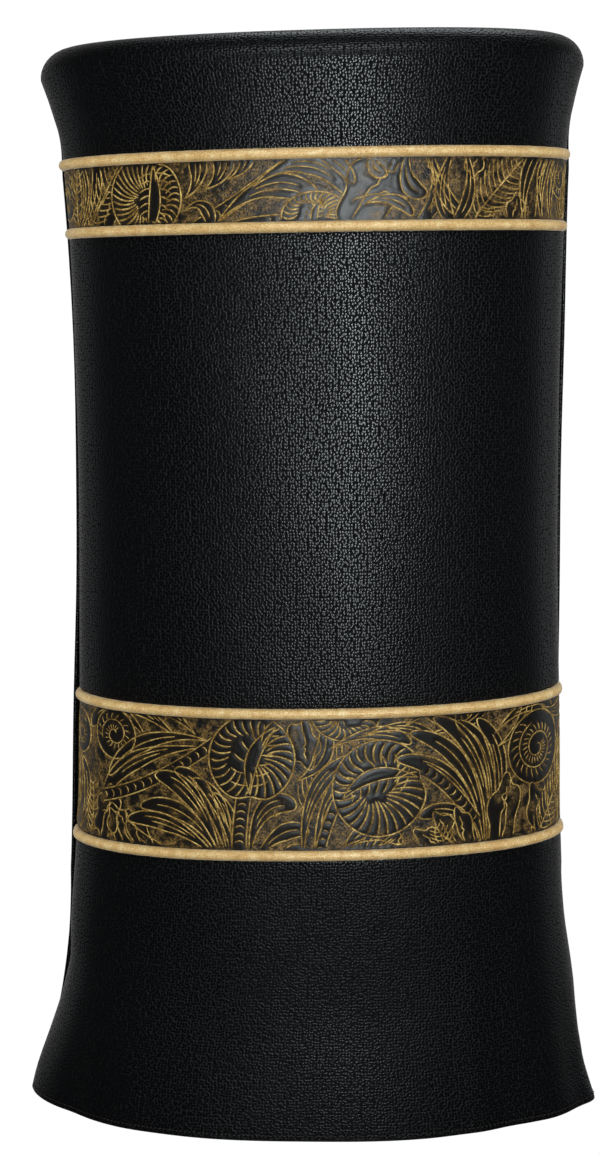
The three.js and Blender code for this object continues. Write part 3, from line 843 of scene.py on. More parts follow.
class Tooling:
    """The lines and closed shapes of a band. A later shape covers what lies under it."""

    def __init__(self, half_width, half_height):
        self.half_width, self.half_height = half_width, half_height
        self.lines, self.shapes, self.rubs = [], [], []

    def line(self, points, width=1.25):
        """A raised line, of this width in its middle."""
        self.lines.append((resampled(np.asarray(points, float), LINE_STEP), width, len(self.shapes)))

    def shape(self, outline, width=1.3):
        """A closed shape with a raised outline, over all that is there already."""
        outline = resampled(np.concatenate([outline, outline[:1]]), LINE_STEP)
        self.shapes.append(outline[:-1])
        self.line(outline, width)

    def rub(self, centre, length, width, angle=0.0):
        """A patch where the wax shows on a shape, or the stain is worn."""
        self.rubs.append((*centre, length, width, math.radians(angle)))

    # Motifs

    def blade(self, spine, width, veins=1, full=0.62, hook=0.12, width_line=1.3):
        """A long leaf about a Bezier spine, narrow at its foot, whose tip hooks over the way the spine bends.

        Its half-width rises as a power of the share of its length, then falls as part of a circle. The hook
        moves a point aside by a fraction of the leaf's length times the fifth power of that share, after a
        small sway the other way.
        """
        spine = np.array(spine, float)
        middle = bezier(spine, 44)
        share = np.linspace(0, 1, 44)
        (ax, ay), (bx, by) = spine[1] - spine[0], spine[-1] - spine[0]
        aside = hook * np.sign(ax * by - ay * bx) * math.hypot(bx, by) * (
            share ** 5 - 0.35 * np.sin(np.pi * share)
        )
        middle = middle + turned_left(unit_rows(np.gradient(middle, axis=0))) * aside[:, None]
        swell = np.minimum(share / full, 1) ** 1.2 * np.sqrt(
            1 - np.clip((share - full) / (1 - full), 0, 1) ** 2.4
        )
        offset = turned_left(unit_rows(np.gradient(middle, axis=0))) * (width / 2 * swell)[:, None]
        self.shape(np.concatenate([middle + offset, (middle - offset)[::-1]]), width_line)
        for k in range(veins):
            side = (k - (veins - 1) / 2) * 0.55
            low, high = 14 + 3 * k, 37 - 3 * k
            self.line((middle + offset * side)[low:high], 1.05)

    def ribbed_oval(self, centre, half_x, half_y, stem_from, stem_to, bow=0.4, ribs=34, notch=0.14):
        """An oval with a smooth blade from its notch, and ribs that stand on the outline and on the blade."""
        centre, stem_from, stem_to = np.array(centre), np.array(stem_from), np.array(stem_to)
        start = math.atan2(stem_from[1] * half_x, stem_from[0] * half_y)
        turn = np.linspace(0, 2 * np.pi, 90, endpoint=False) + start
        dent = 1 - notch * np.exp(-((turn - start - 2 * np.pi * (turn - start > np.pi)) / 0.30) ** 2)
        outline = centre + np.stack([half_x * np.cos(turn), half_y * np.sin(turn)], axis=1) * dent[:, None]
        self.shape(outline, 1.4)
        side = turned_left(stem_to - stem_from)
        foot, head = centre + stem_from * 0.84, centre + stem_to
        left = bezier([foot, foot + (stem_to - stem_from) * 0.5 + side * (bow + 0.10), head], 30)
        right = bezier([foot, foot + (stem_to - stem_from) * 0.5 + side * (bow - 0.22), head], 30)
        share = (np.arange(ribs) + 0.5) / ribs
        on, way = at_share(np.concatenate([outline, outline[:1]]), share)
        aim = centre + stem_to * 0.15
        far = np.tanh(-2.5 * np.sign(bow) * (on - centre) @ side / np.linalg.norm(side) / max(half_x, half_y))
        reach = 0.57 + 0.15 * far + 0.05 * np.sin(share * 37)
        for p, w, r in zip(on, way, reach):
            end = p + (aim - p) * r
            self.line(bezier([p + (aim - p) * 0.04, (p + end) / 2 + w * 4.0, end], 8), 1.5)
        for edge, sign in ((left, 1), (right, -1)):
            count = max(5, ribs // 4)
            foot_points, edge_way = at_share(edge, np.linspace(0.12, 0.86, count))
            normal = turned_left(edge_way) * sign
            size = 0.34 * min(half_x, half_y) * (1 - 0.5 * np.linspace(0, 1, count))
            for p, w, n, r in zip(foot_points, edge_way, normal, size):
                self.line(bezier([p, p + n * r * 0.6 + w * r * 0.1, p + n * r + w * r * 0.55], 7), 1.4)
        self.shape(np.concatenate([left, right[::-1][1:]]), 1.2)

    def ribbed_spiral(self, centre, radius, start, turns=1.6, ribs=30, handed=1, tail=0.28):
        """A shell: a disc with a spiral band on it, whose ribs stand across the band."""
        centre = np.array(centre)
        turn = np.linspace(0, 2 * np.pi, 60, endpoint=False)
        self.shape(centre + radius * np.stack([np.cos(turn), np.sin(turn)], axis=1), 1.3)
        t = np.linspace(0, 1, 90)
        angle = math.radians(start) + handed * 2 * np.pi * turns * t
        arm = np.stack([np.cos(angle), np.sin(angle)], axis=1)
        inner = (radius * (0.70 - 0.62 * t))[:, None] * arm
        self.line(centre + inner, 1.15)
        share = np.linspace(0.02, 0.92, ribs)
        at = math.radians(start) + handed * 2 * np.pi * turns * share
        low = radius * (0.74 - 0.62 * share)
        high = low + radius * np.where(share * turns < 1, 0.20, tail * 0.6)
        for a, r0, r1 in zip(at, low, high):
            lean = handed * 0.10
            ends = [(r0, a), ((r0 + r1) / 2, a + lean * 0.3), (r1, a + lean * 1.6)]
            self.line(bezier([centre + r * np.array([math.cos(b), math.sin(b)]) for r, b in ends], 6), 1.1)

    def chain(self, spine, width, links):
        """Two raised edges with crescents between them, which open along the way."""
        middle = bezier(spine, 40)
        normal = turned_left(unit_rows(np.gradient(middle, axis=0))) * width / 2
        self.shapes.append(resampled(np.concatenate([middle + normal, (middle - normal)[::-1]]), LINE_STEP))
        self.line(middle + normal, 1.2)
        self.line(middle - normal, 1.2)
        place, way = at_share(middle, (np.arange(links) + 0.5) / links)
        side = turned_left(way)
        half = width * 0.30
        for p, w, n in zip(place, way, side):
            self.line(bezier([p + n * half, p + w * width * 0.30, p - n * half], 7), 1.2)

    def frond(self, spine, barb, count, sides=(1, -1), slant=0.9, hook=0.35):
        """A spine with curved barbs that lean towards its tip and shorten to both ends."""
        middle = bezier(spine, 40)
        self.line(middle, 1.3)
        share = np.linspace(0.06, 0.96, count)
        place, way = at_share(middle, share)
        size = barb * np.sin(np.pi * (0.12 + 0.84 * share)) ** 0.6
        for sign in sides:
            normal = turned_left(way) * sign
            for p, w, n, r in zip(place, way, normal, size):
                tip = p + n * r + w * r * slant
                self.line(bezier([p, p + n * r * 0.55 + w * r * 0.1, tip + n * r * hook * 0.3], 8), 1.15)

    def lobed(self, foot, tip, width, lobes=7, patch=True):
        """A broad leaf from foot to tip, whose wavy edge is a radius near one plus a sine of lobes a turn."""
        foot, tip = np.array(foot, float), np.array(tip, float)
        way = (tip - foot) / 2
        side = turned_left(way) / np.linalg.norm(way) * width / 2
        turn = np.linspace(0, 2 * np.pi, 140, endpoint=False)
        radius = (0.87 + 0.12 * np.sin(turn * lobes + 0.8) + 0.04 * np.sin(turn * 2 + foot[0]))[:, None]
        middle = foot + way
        outline = middle + radius * (np.cos(turn)[:, None] * way + np.sin(turn)[:, None] * side)
        self.shape(outline, 1.25)
        self.ripple(
            [foot + way * 0.1, middle + side * 0.30, middle - side * 0.1, middle + way * 0.62], 0.7, 3, 1.25
        )
        lean = math.degrees(math.atan2(way[1], way[0]))
        if patch:
            self.rub(middle + way * 0.40 + side * 0.45, width * 0.20, width * 0.11, lean)
            self.rub(middle - way * 0.30 - side * 0.42, width * 0.26, width * 0.10, lean)

    def ripple(self, points, size=0.9, waves=7, width=1.2):
        """A line that wavers across its Bezier course."""
        middle = bezier(points, 60)
        normal = turned_left(unit_rows(np.gradient(middle, axis=0)))
        t = np.linspace(0, 1, 60)
        shake = size * np.sin(2 * np.pi * waves * t + 1.5 * np.sin(9 * t)) * np.sin(np.pi * t) ** 0.4
        self.line(middle + normal * shake[:, None], width)

    # What the leather does

    def strokes(self):
        """The lines that show, with their widths: not under a later shape, and cut at the band's edges."""
        points = np.concatenate([line for line, _, _ in self.lines])
        order = np.concatenate([np.full(len(line), level) for line, _, level in self.lines])
        seen = (np.abs(points[:, 1]) < self.half_height) & (np.abs(points[:, 0]) < self.half_width)
        for level, outline in enumerate(self.shapes):
            under = np.flatnonzero(order <= level)
            covered = inside(points[under], outline)
            edge = np.abs(order[under] - level) < 1
            seen[under[covered & ~edge]] = False
        found, start = [], 0
        for line, width, _ in self.lines:
            shown = seen[start:start + len(line)]
            start += len(line)
            breaks = np.flatnonzero(np.diff(shown.astype(int))) + 1
            found += [
                (run, width) for run,
                on in zip(np.split(line, breaks), shown[np.r_[0, breaks]]) if on and len(run) > 2
            ]
        return found

    def settle(self, step=0.5):
        """Lays the design out on rasters: the height, the ground between shapes and the wear.

        All three come from each place's distance to the nearest line and from the shape it lies in.
        """
        self.shown = self.strokes()
        self.step = step
        self.s = np.arange(-self.half_width - MARGIN, self.half_width + MARGIN, step)
        self.v = np.arange(-self.half_height - MARGIN, self.half_height + MARGIN, step)
        grid = np.stack(np.meshgrid(self.s, self.v), axis=-1)
        near = np.full(grid.shape[:2], SPREAD)
        points = np.concatenate([resampled(line, 0.6) for line, _ in self.shown])
        column = np.round((points[:, 0] - self.s[0]) / step).astype(int)
        row = np.round((points[:, 1] - self.v[0]) / step).astype(int)
        reach = round(SPREAD / step)
        for i in range(-reach, reach + 1):
            for j in range(-reach, reach + 1):
                r, c = row + i, column + j
                fits = (r >= 0) & (r < len(self.v)) & (c >= 0) & (c < len(self.s))
                r, c = r[fits], c[fits]
                away = np.hypot(self.s[c] - points[fits, 0], self.v[r] - points[fits, 1])
                np.minimum.at(near, (r, c), away)
        ground = np.ones(grid.shape[:2])
        for outline in self.shapes:
            low, high = outline.min(axis=0), outline.max(axis=0)
            rows = slice(*np.searchsorted(self.v, [low[1], high[1]]))
            columns = slice(*np.searchsorted(self.s, [low[0], high[0]]))
            window = grid[rows, columns]
            if window.size:
                ground[rows, columns][inside(window, outline)] = 0
        wear = 0.75 * ground + 0.30 * np.exp(-(near / 1.2) ** 2)
        for x, y, length, width, angle in self.rubs:
            u = (grid[..., 0] - x) * math.cos(angle) + (grid[..., 1] - y) * math.sin(angle)
            w = (grid[..., 1] - y) * math.cos(angle) - (grid[..., 0] - x) * math.sin(angle)
            wear = np.maximum(wear, np.exp(-((u / length) ** 2 + (w / width) ** 2)))
        puff = (1 - np.exp(-(near / 2.0) ** 2)) * (1 - 0.5 * smoothstep(near, 2.0, SPREAD))
        self.height = (0.42 * puff - 0.25) * (1 - ground) + (0.08 * puff - 0.30) * ground
        self.rubbed, self.ground = wear, ground

    def read(self, raster, s, v):
        """A raster's value at places in millimetres, between its four nearest entries."""
        x = np.clip((s - self.s[0]) / self.step, 0, len(self.s) - 1.001)
        y = np.clip((v - self.v[0]) / self.step, 0, len(self.v) - 1.001)
        c, r = x.astype(int), y.astype(int)
        u, w = x - c, y - r
        low = raster[r, c] * (1 - u) + raster[r, c + 1] * u
        high = raster[r + 1, c] * (1 - u) + raster[r + 1, c + 1] * u
        return low * (1 - w) + high * w


def lower_band_design():
    """Leaves, ribbed ovals, shells, fans and fronds that grow across the deep band from several stems."""
    t = Tooling(212, 46.5)
    # left end
    t.blade([(-214, -50), (-186, -18), (-206, 30)], 13, 2)
    t.blade([(-196, -52), (-176, -20), (-182, 8)], 10, 1)
    t.ribbed_spiral((-190, 26), 16, 40, 1.4, 20)
    t.frond([(-176, -50), (-168, -34), (-172, -8)], 9, 9)
    t.blade([(-120, 26), (-140, 56), (-176, 38)], 13, 2)
    t.blade([(-96, 30), (-120, 46), (-150, 60)], 10, 2)
    t.blade([(-84, 34), (-100, 48), (-126, 60)], 9, 1)
    t.ribbed_spiral((-148, 30), 18, 200, 1.5, 24, -1)
    t.blade([(-74, 30), (-110, 34), (-158, 8)], 12, 1, full=0.6)
    t.blade([(-76, 26), (-118, 18), (-164, -6)], 13, 2, full=0.6)
    t.lobed((-162, -50), (-150, -8), 27, 6)
    t.lobed((-138, -52), (-150, -20), 22, 5)
    t.lobed((-120, -56), (-136, -22), 20, 5)
    t.ripple([(-160, -28), (-146, -20), (-138, -36)], 1.0, 4)
    t.blade([(-70, -54), (-110, -50), (-140, -40)], 11, 1)
    t.chain([(-160, -16), (-116, -6), (-70, 30)], 8.5, 15)
    # sheaf of long leaves left of the first oval
    t.blade([(-66, -56), (-96, -34), (-134, -22)], 12, 2, full=0.62)
    t.blade([(-66, -56), (-86, -22), (-124, -12)], 12, 1, full=0.62)
    t.blade([(-64, -56), (-88, -10), (-108, 10)], 14, 2, full=0.6)
    t.blade([(-60, -56), (-80, -8), (-92, 13)], 12, 1, full=0.62)
    t.blade([(-58, -56), (-66, -20), (-80, 6)], 10, 2, full=0.6)
    t.rub((-104, -28), 12, 3, 40)
    t.rub((-82, -22), 12, 2.6, 60)
    t.blade([(-54, -58), (-60, -30), (-66, -6)], 8, 1)
    t.blade([(-46, -56), (-40, -10), (-14, -12)], 15, 2, full=0.62)
    t.blade([(-44, -58), (-26, -34), (-6, -30)], 12, 1, full=0.6)
    t.blade([(-34, -60), (-18, -48), (-4, -46)], 9, 1, full=0.6)
    t.chain([(-53, -56), (-54, -30), (-50, -8)], 10, 9)
    t.rub((-30, -24), 10, 3, 60)
    # fan between the ovals
    t.frond([(-12, -20), (8, 6), (44, 34)], 17, 16, sides=(1,))
    t.lobed((-12, 48), (-6, 10), 24, 5)
    t.blade([(-14, 2), (4, 14), (10, 42)], 12, 1, full=0.55)
    t.blade([(-8, -58), (-6, -10), (20, 26)], 11, 2, full=0.62)
    t.blade([(0, -58), (6, -12), (44, 34)], 13, 2, full=0.62)
    t.blade([(8, -58), (4, -20), (26, 4)], 9, 1)
    t.ribbed_oval((20, 52), 24, 21, (0, 19), (-10, -10), 0.3, 26)
    t.blade([(32, 34), (58, 44), (88, 30)], 9, 2)
    t.blade([(10, 26), (36, 38), (66, 34)], 10, 2)
    t.chain([(2, -56), (4, -38), (14, -14)], 7, 7)
    t.ribbed_oval((-45, 18), 30, 32, (-1, -31), (17, 24), 0.30, 27)
    # second oval and the leaves about it
    t.lobed((16, -60), (62, -36), 26, 6)
    t.blade([(18, -56), (30, -26), (62, -40)], 14, 1, full=0.5)
    t.frond([(24, -50), (38, -44), (58, -50)], 8, 8)
    t.blade([(76, 34), (104, 40), (124, 56)], 11, 2)
    t.blade([(60, 40), (78, 52), (98, 60)], 11, 1)
    t.ribbed_oval((92, 56), 20, 17, (0, 16), (8, -8), 0.3, 20)
    t.ribbed_oval((44, -4), 33, 35, (31, 8), (-26, -8), -0.30, 29)
    # tall fan right of the second oval
    t.blade([(120, -58), (104, -6), (62, 26)], 13, 2, full=0.66)
    t.blade([(120, -58), (108, 4), (74, 44)], 12, 1, full=0.66)
    t.blade([(122, -58), (116, 8), (92, 52)], 12, 2, full=0.66)
    t.blade([(122, -58), (122, 6), (108, 46)], 11, 1, full=0.66)
    t.blade([(124, -58), (130, 0), (124, 44)], 12, 2, full=0.64)
    t.rub((76, 18), 10, 3, -40)
    t.chain([(74, 8), (92, -2), (112, -32)], 9, 9)
    t.blade([(116, -56), (106, -22), (72, -20)], 12, 2, full=0.62)
    t.lobed((100, -60), (68, -34), 20, 5)
    t.lobed((104, -60), (82, -22), 18, 5)
    t.lobed((110, -60), (98, -20), 17, 5)
    t.frond([(92, -56), (90, -44), (84, -34)], 7, 7)
    t.rub((96, -38), 12, 4, 80)
    # right end
    t.blade([(126, 30), (150, 50), (184, 46)], 11, 2)
    t.blade([(128, 20), (148, 34), (160, 56)], 10, 1)
    t.blade([(168, 44), (192, 34), (214, 42)], 12, 2)
    t.ribbed_spiral((164, 15), 27, 110, 1.9, 40)
    t.lobed((130, -58), (138, 2), 27, 5)
    t.ripple([(136, -50), (128, -22), (142, -4)], 3.0, 2, 1.3)
    t.lobed((176, -60), (160, -10), 26, 5)
    t.rub((140, -12), 5, 9)
    t.rub((137, -36), 4, 8)
    t.frond([(160, -56), (176, -34), (196, -12)], 13, 11)
    t.blade([(198, -54), (192, -10), (206, 34)], 12, 2)
    t.blade([(208, -54), (204, -6), (216, 30)], 9, 1)
    t.settle()
    return t


def upper_band_design():
    """The same leaves on the narrow band, cut off by the seams above and below."""
    t = Tooling(206, 19.6)
    t.ribbed_spiral((-196, 2), 17, 20, 1.5, 26)
    t.frond([(-176, -26), (-180, -4), (-172, 26)], 8, 10)
    t.blade([(-182, -28), (-164, -6), (-166, 28)], 9, 2)
    t.blade([(-178, -28), (-156, -8), (-148, 26)], 9, 1)
    t.frond([(-166, -28), (-152, -8), (-132, 22)], 10, 12)
    t.lobed((-150, -30), (-140, 2), 20, 5, patch=False)
    t.chain([(-84, -26), (-46, -6), (2, 30)], 8.5, 15)
    t.blade([(-86, -4), (-74, 8), (-76, 32)], 12, 2)
    t.blade([(-72, 2), (-58, 10), (-56, 32)], 14, 2)
    t.blade([(-56, 8), (-40, 16), (-42, 34)], 10, 1)
    t.rub((-56, 14), 8, 2.6, 70)
    t.rub((-74, 12), 8, 2.4, 80)
    t.ribbed_oval((-114, -2), 26, 27, (8, 25), (2, -25), 0.18, 34)
    t.blade([(-86, -12), (-72, -2), (-66, -22)], 9, 1)
    t.blade([(-64, -20), (-30, 10), (8, -2)], 16, 2, full=0.6)
    t.chain([(-66, -28), (-40, -18), (-14, -20)], 8, 9)
    t.blade([(-40, 2), (-6, 26), (26, 4)], 13, 2, full=0.55)
    t.ribbed_oval((2, -17), 23, 16, (0, -15), (4, 12), 0.3, 30)
    t.rub((-22, 2), 16, 2.4, 10)
    t.blade([(-10, 24), (10, 22), (30, 8)], 9, 1)
    # smooth leaves at the middle
    t.lobed((22, -26), (60, 26), 44, 5)
    t.ripple([(26, -8), (40, 2), (62, -6)], 0.9, 2)
    t.ripple([(36, 10), (48, 4), (58, 16)], 1.2, 2)
    t.blade([(40, 28), (38, 14), (48, 8)], 9, 1)
    t.blade([(34, -10), (50, -4), (68, -14)], 8, 1)
    t.rub((44, 14), 7, 4, 60)
    t.rub((36, -6), 7, 4, 150)
    t.blade([(66, 30), (58, 2), (74, -6)], 12, 1)
    t.blade([(70, 30), (90, 6), (74, -26)], 10, 2)
    t.blade([(80, 30), (84, 2), (100, -24)], 9, 1)
    t.blade([(98, 30), (84, 4), (88, -26)], 10, 2)
    t.blade([(100, 30), (108, 4), (98, -26)], 8, 1)
    t.ripple([(76, 18), (84, 0), (78, -16)], 1.0, 5)
    t.lobed((112, 28), (106, 6), 14, 5)
    t.frond([(108, -20), (122, -2), (150, 22)], 14, 13)
    t.lobed((106, -26), (124, -14), 13, 5)
    t.lobed((136, -28), (142, -2), 15, 5)
    t.blade([(148, -28), (146, 2), (158, 30)], 10, 1)
    t.ripple([(158, -24), (152, -2), (170, 20)], 1.6, 2, 1.3)
    t.rub((140, -6), 4, 7)
    t.blade([(166, -28), (160, 2), (172, 30)], 9, 2)
    t.ribbed_spiral((188, 8), 14, 150, 1.4, 20)
    t.blade([(176, -28), (172, -6), (180, 26)], 8, 1)
    t.frond([(184, -28), (190, -12), (206, 2)], 8, 9)
    t.blade([(200, -26), (198, 2), (208, 28)], 9, 1)
    t.settle()
    return t


# ---- Pieces ----

HALVES = {"front": "front_flap", "back": "back_flap"}
COVER_HALF = [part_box("top_cover")[1].x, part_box("top_cover")[1].y]
YOKE_TOP = SIDE_TOP + SHOULDER * math.pi / 2 + (
    float(half_sizes(SIDE_TOP, "front")[0]) - COVER_HALF[0]
) - SHOULDER
HOLES = [(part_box(name)[0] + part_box(name)[1]) / 2 for name in ("left_roller_binding", "right_roller_binding")]
HOLE_X = abs(HOLES[0].x)


def flat_area(half, low, high):
    """The flat area of a flap's leather between two heights."""
    climb = np.linspace(low, high, 40)
    lengths = length_at(half, climb)
    return float(np.trapz(lengths, climb)), float(lengths.max())


def yoke_seam(s, climb):
    """The yoke's leather dips where it is sewn to the top cover."""
    return -1.0 * MM * bell(climb, YOKE_TOP, 5 * MM), {}


def top_plate(name, half_width, half_depth, hole, thickness, middle, crown, rounding, rays=144, rings=15):
    """A flat piece with two round holes: rays run from each hole to the oval's edge or to the middle line.

    Its faces lie half the thickness either side of the middle surface, which the crown raises away
    from every edge, and they meet along a quarter circle at the outline and at the holes.
    """
    corner = math.atan2(half_depth, -HOLE_X)
    turn = np.sort(
        np.concatenate([np.linspace(-np.pi, np.pi, rays, endpoint=False) + 0.011, [corner, -corner]])
    )
    way = np.stack([np.cos(turn), np.sin(turn)], axis=1)
    low, high = np.full(len(turn), hole), np.full(len(turn), 2 * half_width)
    fill = lambda x, y: (np.abs(x / half_width) ** OVAL_POWER + np.abs(y / half_depth) ** OVAL_POWER)
    for _ in range(40):
        half = (low + high) / 2
        within = fill(HOLE_X + half * way[:, 0], half * way[:, 1]) < 1
        low, high = np.where(within, half, low), np.where(within, high, half)
    to_middle = np.where(way[:, 0] < 0, HOLE_X / np.maximum(-way[:, 0], 1e-9), 9.0)
    reach = np.minimum(low, to_middle)
    steps = np.concatenate([[0, 0.006, 0.02, 0.045], np.linspace(0.09, 0.91, rings), [0.955, 0.98, 0.994, 1]])
    radius = hole + (reach - hole)[None] * steps[:, None]
    x = HOLE_X + radius * way[None, :, 0]
    x[-1] = np.where(to_middle < low, 0, x[-1])
    y = radius * way[None, :, 1]
    value = np.minimum(fill(x, y), 1)
    slope = np.hypot(
        OVAL_POWER * np.abs(x / half_width) ** (OVAL_POWER - 1) / half_width,
        OVAL_POWER * np.abs(y / half_depth) ** (OVAL_POWER - 1) / half_depth,
    )
    from_rim = (1 - value) / slope
    from_edge = np.minimum(from_rim, radius - hole)
    swell = crown * (1 - np.exp(-from_edge / (16 * MM))) * (
        1 + 0.25 * np.cos(np.clip(from_rim / 0.05, 0, np.pi))
    )
    half = thickness / 2 * roundness(from_edge, rounding)
    top = np.stack([x, y, middle + swell + half], axis=-1)
    bottom = np.stack([x, y, middle + swell - half], axis=-1)
    flip = np.array([-1, 1, 1])
    faces = grid_quads(*x.shape, wrap=True)
    count = x.size
    points = np.concatenate([p.reshape(-1, 3) for p in (top, bottom, top * flip, bottom * flip)])
    points = tilted(points)
    quads = [faces[:, ::-1], faces + count, faces + 2 * count, faces[:, ::-1] + 3 * count]
    piece = make_mesh(name, points, np.concatenate(quads), uv=points[:, :2])
    weld(piece, 0.002 * MM)
    return piece


def tilted(points):
    """The top's points, tilted with its seams."""
    return points + np.stack([0 * points[:, 0], 0 * points[:, 1], seam_tilt(points[:, 0], TOP_Z)], axis=1)


def weld(piece, distance):
    """Joins points that coincide, so that the parts make one closed surface, and turns its faces outward."""
    mesh = bmesh.new()
    mesh.from_mesh(piece.data)
    bmesh.ops.remove_doubles(mesh, verts=mesh.verts, dist=distance)
    bmesh.ops.dissolve_degenerate(mesh, edges=mesh.edges, dist=distance / 4)
    bmesh.ops.recalc_face_normals(mesh, faces=mesh.faces)
    mesh.to_mesh(piece.data)
    mesh.free()
    piece.data.shade_smooth()
    return piece


def lathe(name, centre, profile, sides=72):
    """A closed profile of radius and height turned about an upright axis."""
    turn = np.linspace(0, 2 * np.pi, sides, endpoint=False)
    ring = np.stack([
        centre.x + profile[:, None, 0] * np.cos(turn), centre.y + profile[:, None, 0] * np.sin(turn),
        np.broadcast_to(profile[:, None, 1], (len(profile), sides)),
    ], axis=-1)
    rows = np.concatenate([ring, ring[:1]])
    index = np.arange(len(profile) * sides).reshape(len(profile), sides)
    index = np.concatenate([index, index[:1]])
    after = np.roll(index, -1, axis=1)
    quads = np.stack([index[:-1], index[1:], after[1:], after[:-1]], axis=-1).reshape(-1, 4)
    uv = np.stack(np.meshgrid(turn * 0.03, np.arange(len(profile)) * MM), axis=-1)
    return make_mesh(name, tilted(rows[:-1].reshape(-1, 3)), quads, uv=uv)


def stitch_row(name, centres, ways, ups):
    """Separate stitches, each a flattened capsule that lies along the row and sinks at both ends."""
    sizes = bpy.context.scene.mantle_sizes
    length, width, lift = sizes.stitch_length / 2, sizes.thread / 2, sizes.thread / 2
    turn = np.linspace(0, 2 * np.pi, 8, endpoint=False)
    along = np.array([-1, -0.78, -0.3, 0.3, 0.78, 1]) * length
    swell = np.array([0.30, 0.78, 1, 1, 0.78, 0.30])
    sink = np.array([-0.9, -0.25, 0, 0, -0.25, -0.9]) * lift
    asides = unit_rows(np.cross(ups, ways))
    round_part = swell[:, None, None] * (
        np.cos(turn)[None, :, None] * width * asides[:, None, None]
        + np.sin(turn)[None, :, None] * lift * ups[:, None, None]
    )
    line = centres[:, None] + along[None, :, None] * ways[:, None] + (
        sink + lift * 0.5
    )[None, :, None] * ups[:, None]
    points = (line[:, :, None] + round_part).reshape(len(centres), 48, 3)
    quads = grid_quads(6, 8, wrap=True)[:, ::-1]
    first, last = np.arange(8), 40 + np.arange(8)
    ends = np.array([[0, 1, 2, 3], [0, 3, 4, 7], [4, 5, 6, 7]])
    caps = np.concatenate([first[ends], last[ends][:, ::-1]])
    face = np.concatenate([quads, caps])
    every = (face[None] + 48 * np.arange(len(centres))[:, None, None]).reshape(-1, 4)
    return make_mesh(name, points, every)


def stitches_on(name, half, share, climb, out=0.0):
    """A row of stitches at shares and climbs of a flap's leather."""
    here = on_mantle(half, share, climb, out)
    ups = facing(half, share, climb)
    return stitch_row(name, here, unit_rows(np.gradient(here, axis=0)), ups)


def row_shares(half, climb, inset):
    """Shares of the way across for stitches at the pitch, from inset to inset."""
    length = float(length_at(half, climb))
    pitch = bpy.context.scene.mantle_sizes.stitch_pitch
    return np.arange(inset, length - inset, pitch) / length


def piping_path(climb, side_gap, out, step=1.6 * MM, curl=3.4 * MM):
    """A piping's middle line across the front, whose ends curl in to the leather's edge."""
    length = float(length_at("front", climb))
    distance = np.arange(side_gap, length - side_gap + step, step)
    distance = np.linspace(side_gap, length - side_gap, len(distance))
    from_end = np.minimum(distance - side_gap, length - side_gap - distance)
    sunk = curl * (1 - smoothstep(from_end, 0, 26 * MM)) ** 1.5
    return distance, from_end, on_mantle("front", distance / length, climb, out - sunk)


def tooling_lines(name, design, climb_middle, height):
    """The raised gilt lines as tapered ridges: five-sided, closed, their feet sunk into the leather."""
    points_all, quads_all, caps_all, start = [], [], [], 0
    for line, width in design.shown:
        way = unit_rows(np.gradient(line, axis=0))
        normal = turned_left(way)
        along = polyline_lengths(line)
        closed = np.linalg.norm(line[0] - line[-1]) < 0.8
        from_end = np.minimum(along, along[-1] - along)
        taper = 1.0 if closed else 0.35 + 0.65 * smoothstep(from_end, -0.4, 2.6)
        wobble = 1 + 0.14 * np.sin(line[:, 0] * 1.9 + line[:, 1] * 1.3) * np.sin(along * 0.7)
        half = width / 2 * taper * wobble
        tall = taper * np.ones(len(line))
        section = [(-1.0, -0.45, 0), (-0.62, 0.6, 1), (0.0, 1.0, 1), (0.62, 0.6, 1), (1.0, -0.45, 0)]
        rings = []
        for across, lift, raised in section:
            place = line + normal * (half * across)[:, None]
            under = line if raised else place
            level = design.read(design.height, under[:, 0], under[:, 1])
            level = level + lift * height / MM * (tall if raised else 1)
            length = length_at("front", climb_middle + place[:, 1] * MM)
            share = 0.5 + place[:, 0] * MM / length
            rings.append(on_mantle("front", share, climb_middle + place[:, 1] * MM, level * MM))
        ring = np.stack(rings, axis=1)
        count = len(line)
        points_all.append(ring.reshape(-1, 3))
        quads_all.append(grid_quads(count, 5, wrap=True)[:, ::-1] + start)
        fan = np.array([[0, 1, 2], [0, 2, 3], [0, 3, 4]])
        caps_all.append(fan + start)
        caps_all.append(fan[:, ::-1] + start + 5 * (count - 1))
        start += 5 * count
    return make_mesh(name, np.concatenate(points_all), np.concatenate(quads_all), np.concatenate(caps_all))


# ---- Sizes and colours ----

def length_setting(name, description, default):
    """A length property in metres."""
    return FloatProperty(
        name=name, description=description, default=default, unit="LENGTH", subtype="DISTANCE"
    )


def colour_setting(name, description, hex_colour):
    """A colour property, kept linear."""
    return FloatVectorProperty(
        name=name, description=description, default=linear(hex_colour)[:3], subtype="COLOR", size=3, min=0,
        max=1
    )


class MantleSizes(bpy.types.PropertyGroup):
    """Sizes of the mantle's trimmings."""

    piping: length_setting("Piping radius", "Outside radius of a piping", 3.65 * MM)
    standoff: length_setting(
        "Piping standoff", "How far a piping's middle stands off the leather's face", 1.3 * MM
    )
    stitch_length: length_setting("Stitch length", "Length of a stitch that shows", 2.2 * MM)
    stitch_pitch: length_setting("Stitch pitch", "From one stitch to the next", 3.2 * MM)
    thread: length_setting("Thread thickness", "Thickness of the sewing thread", 0.8 * MM)
    crown: length_setting("Top's crown", "How far the padding swells the top cover", 2.6 * MM)
    ridge: length_setting(
        "Tooled ridge", "How far a gilt line stands up from the leather beside it", 0.42 * MM
    )


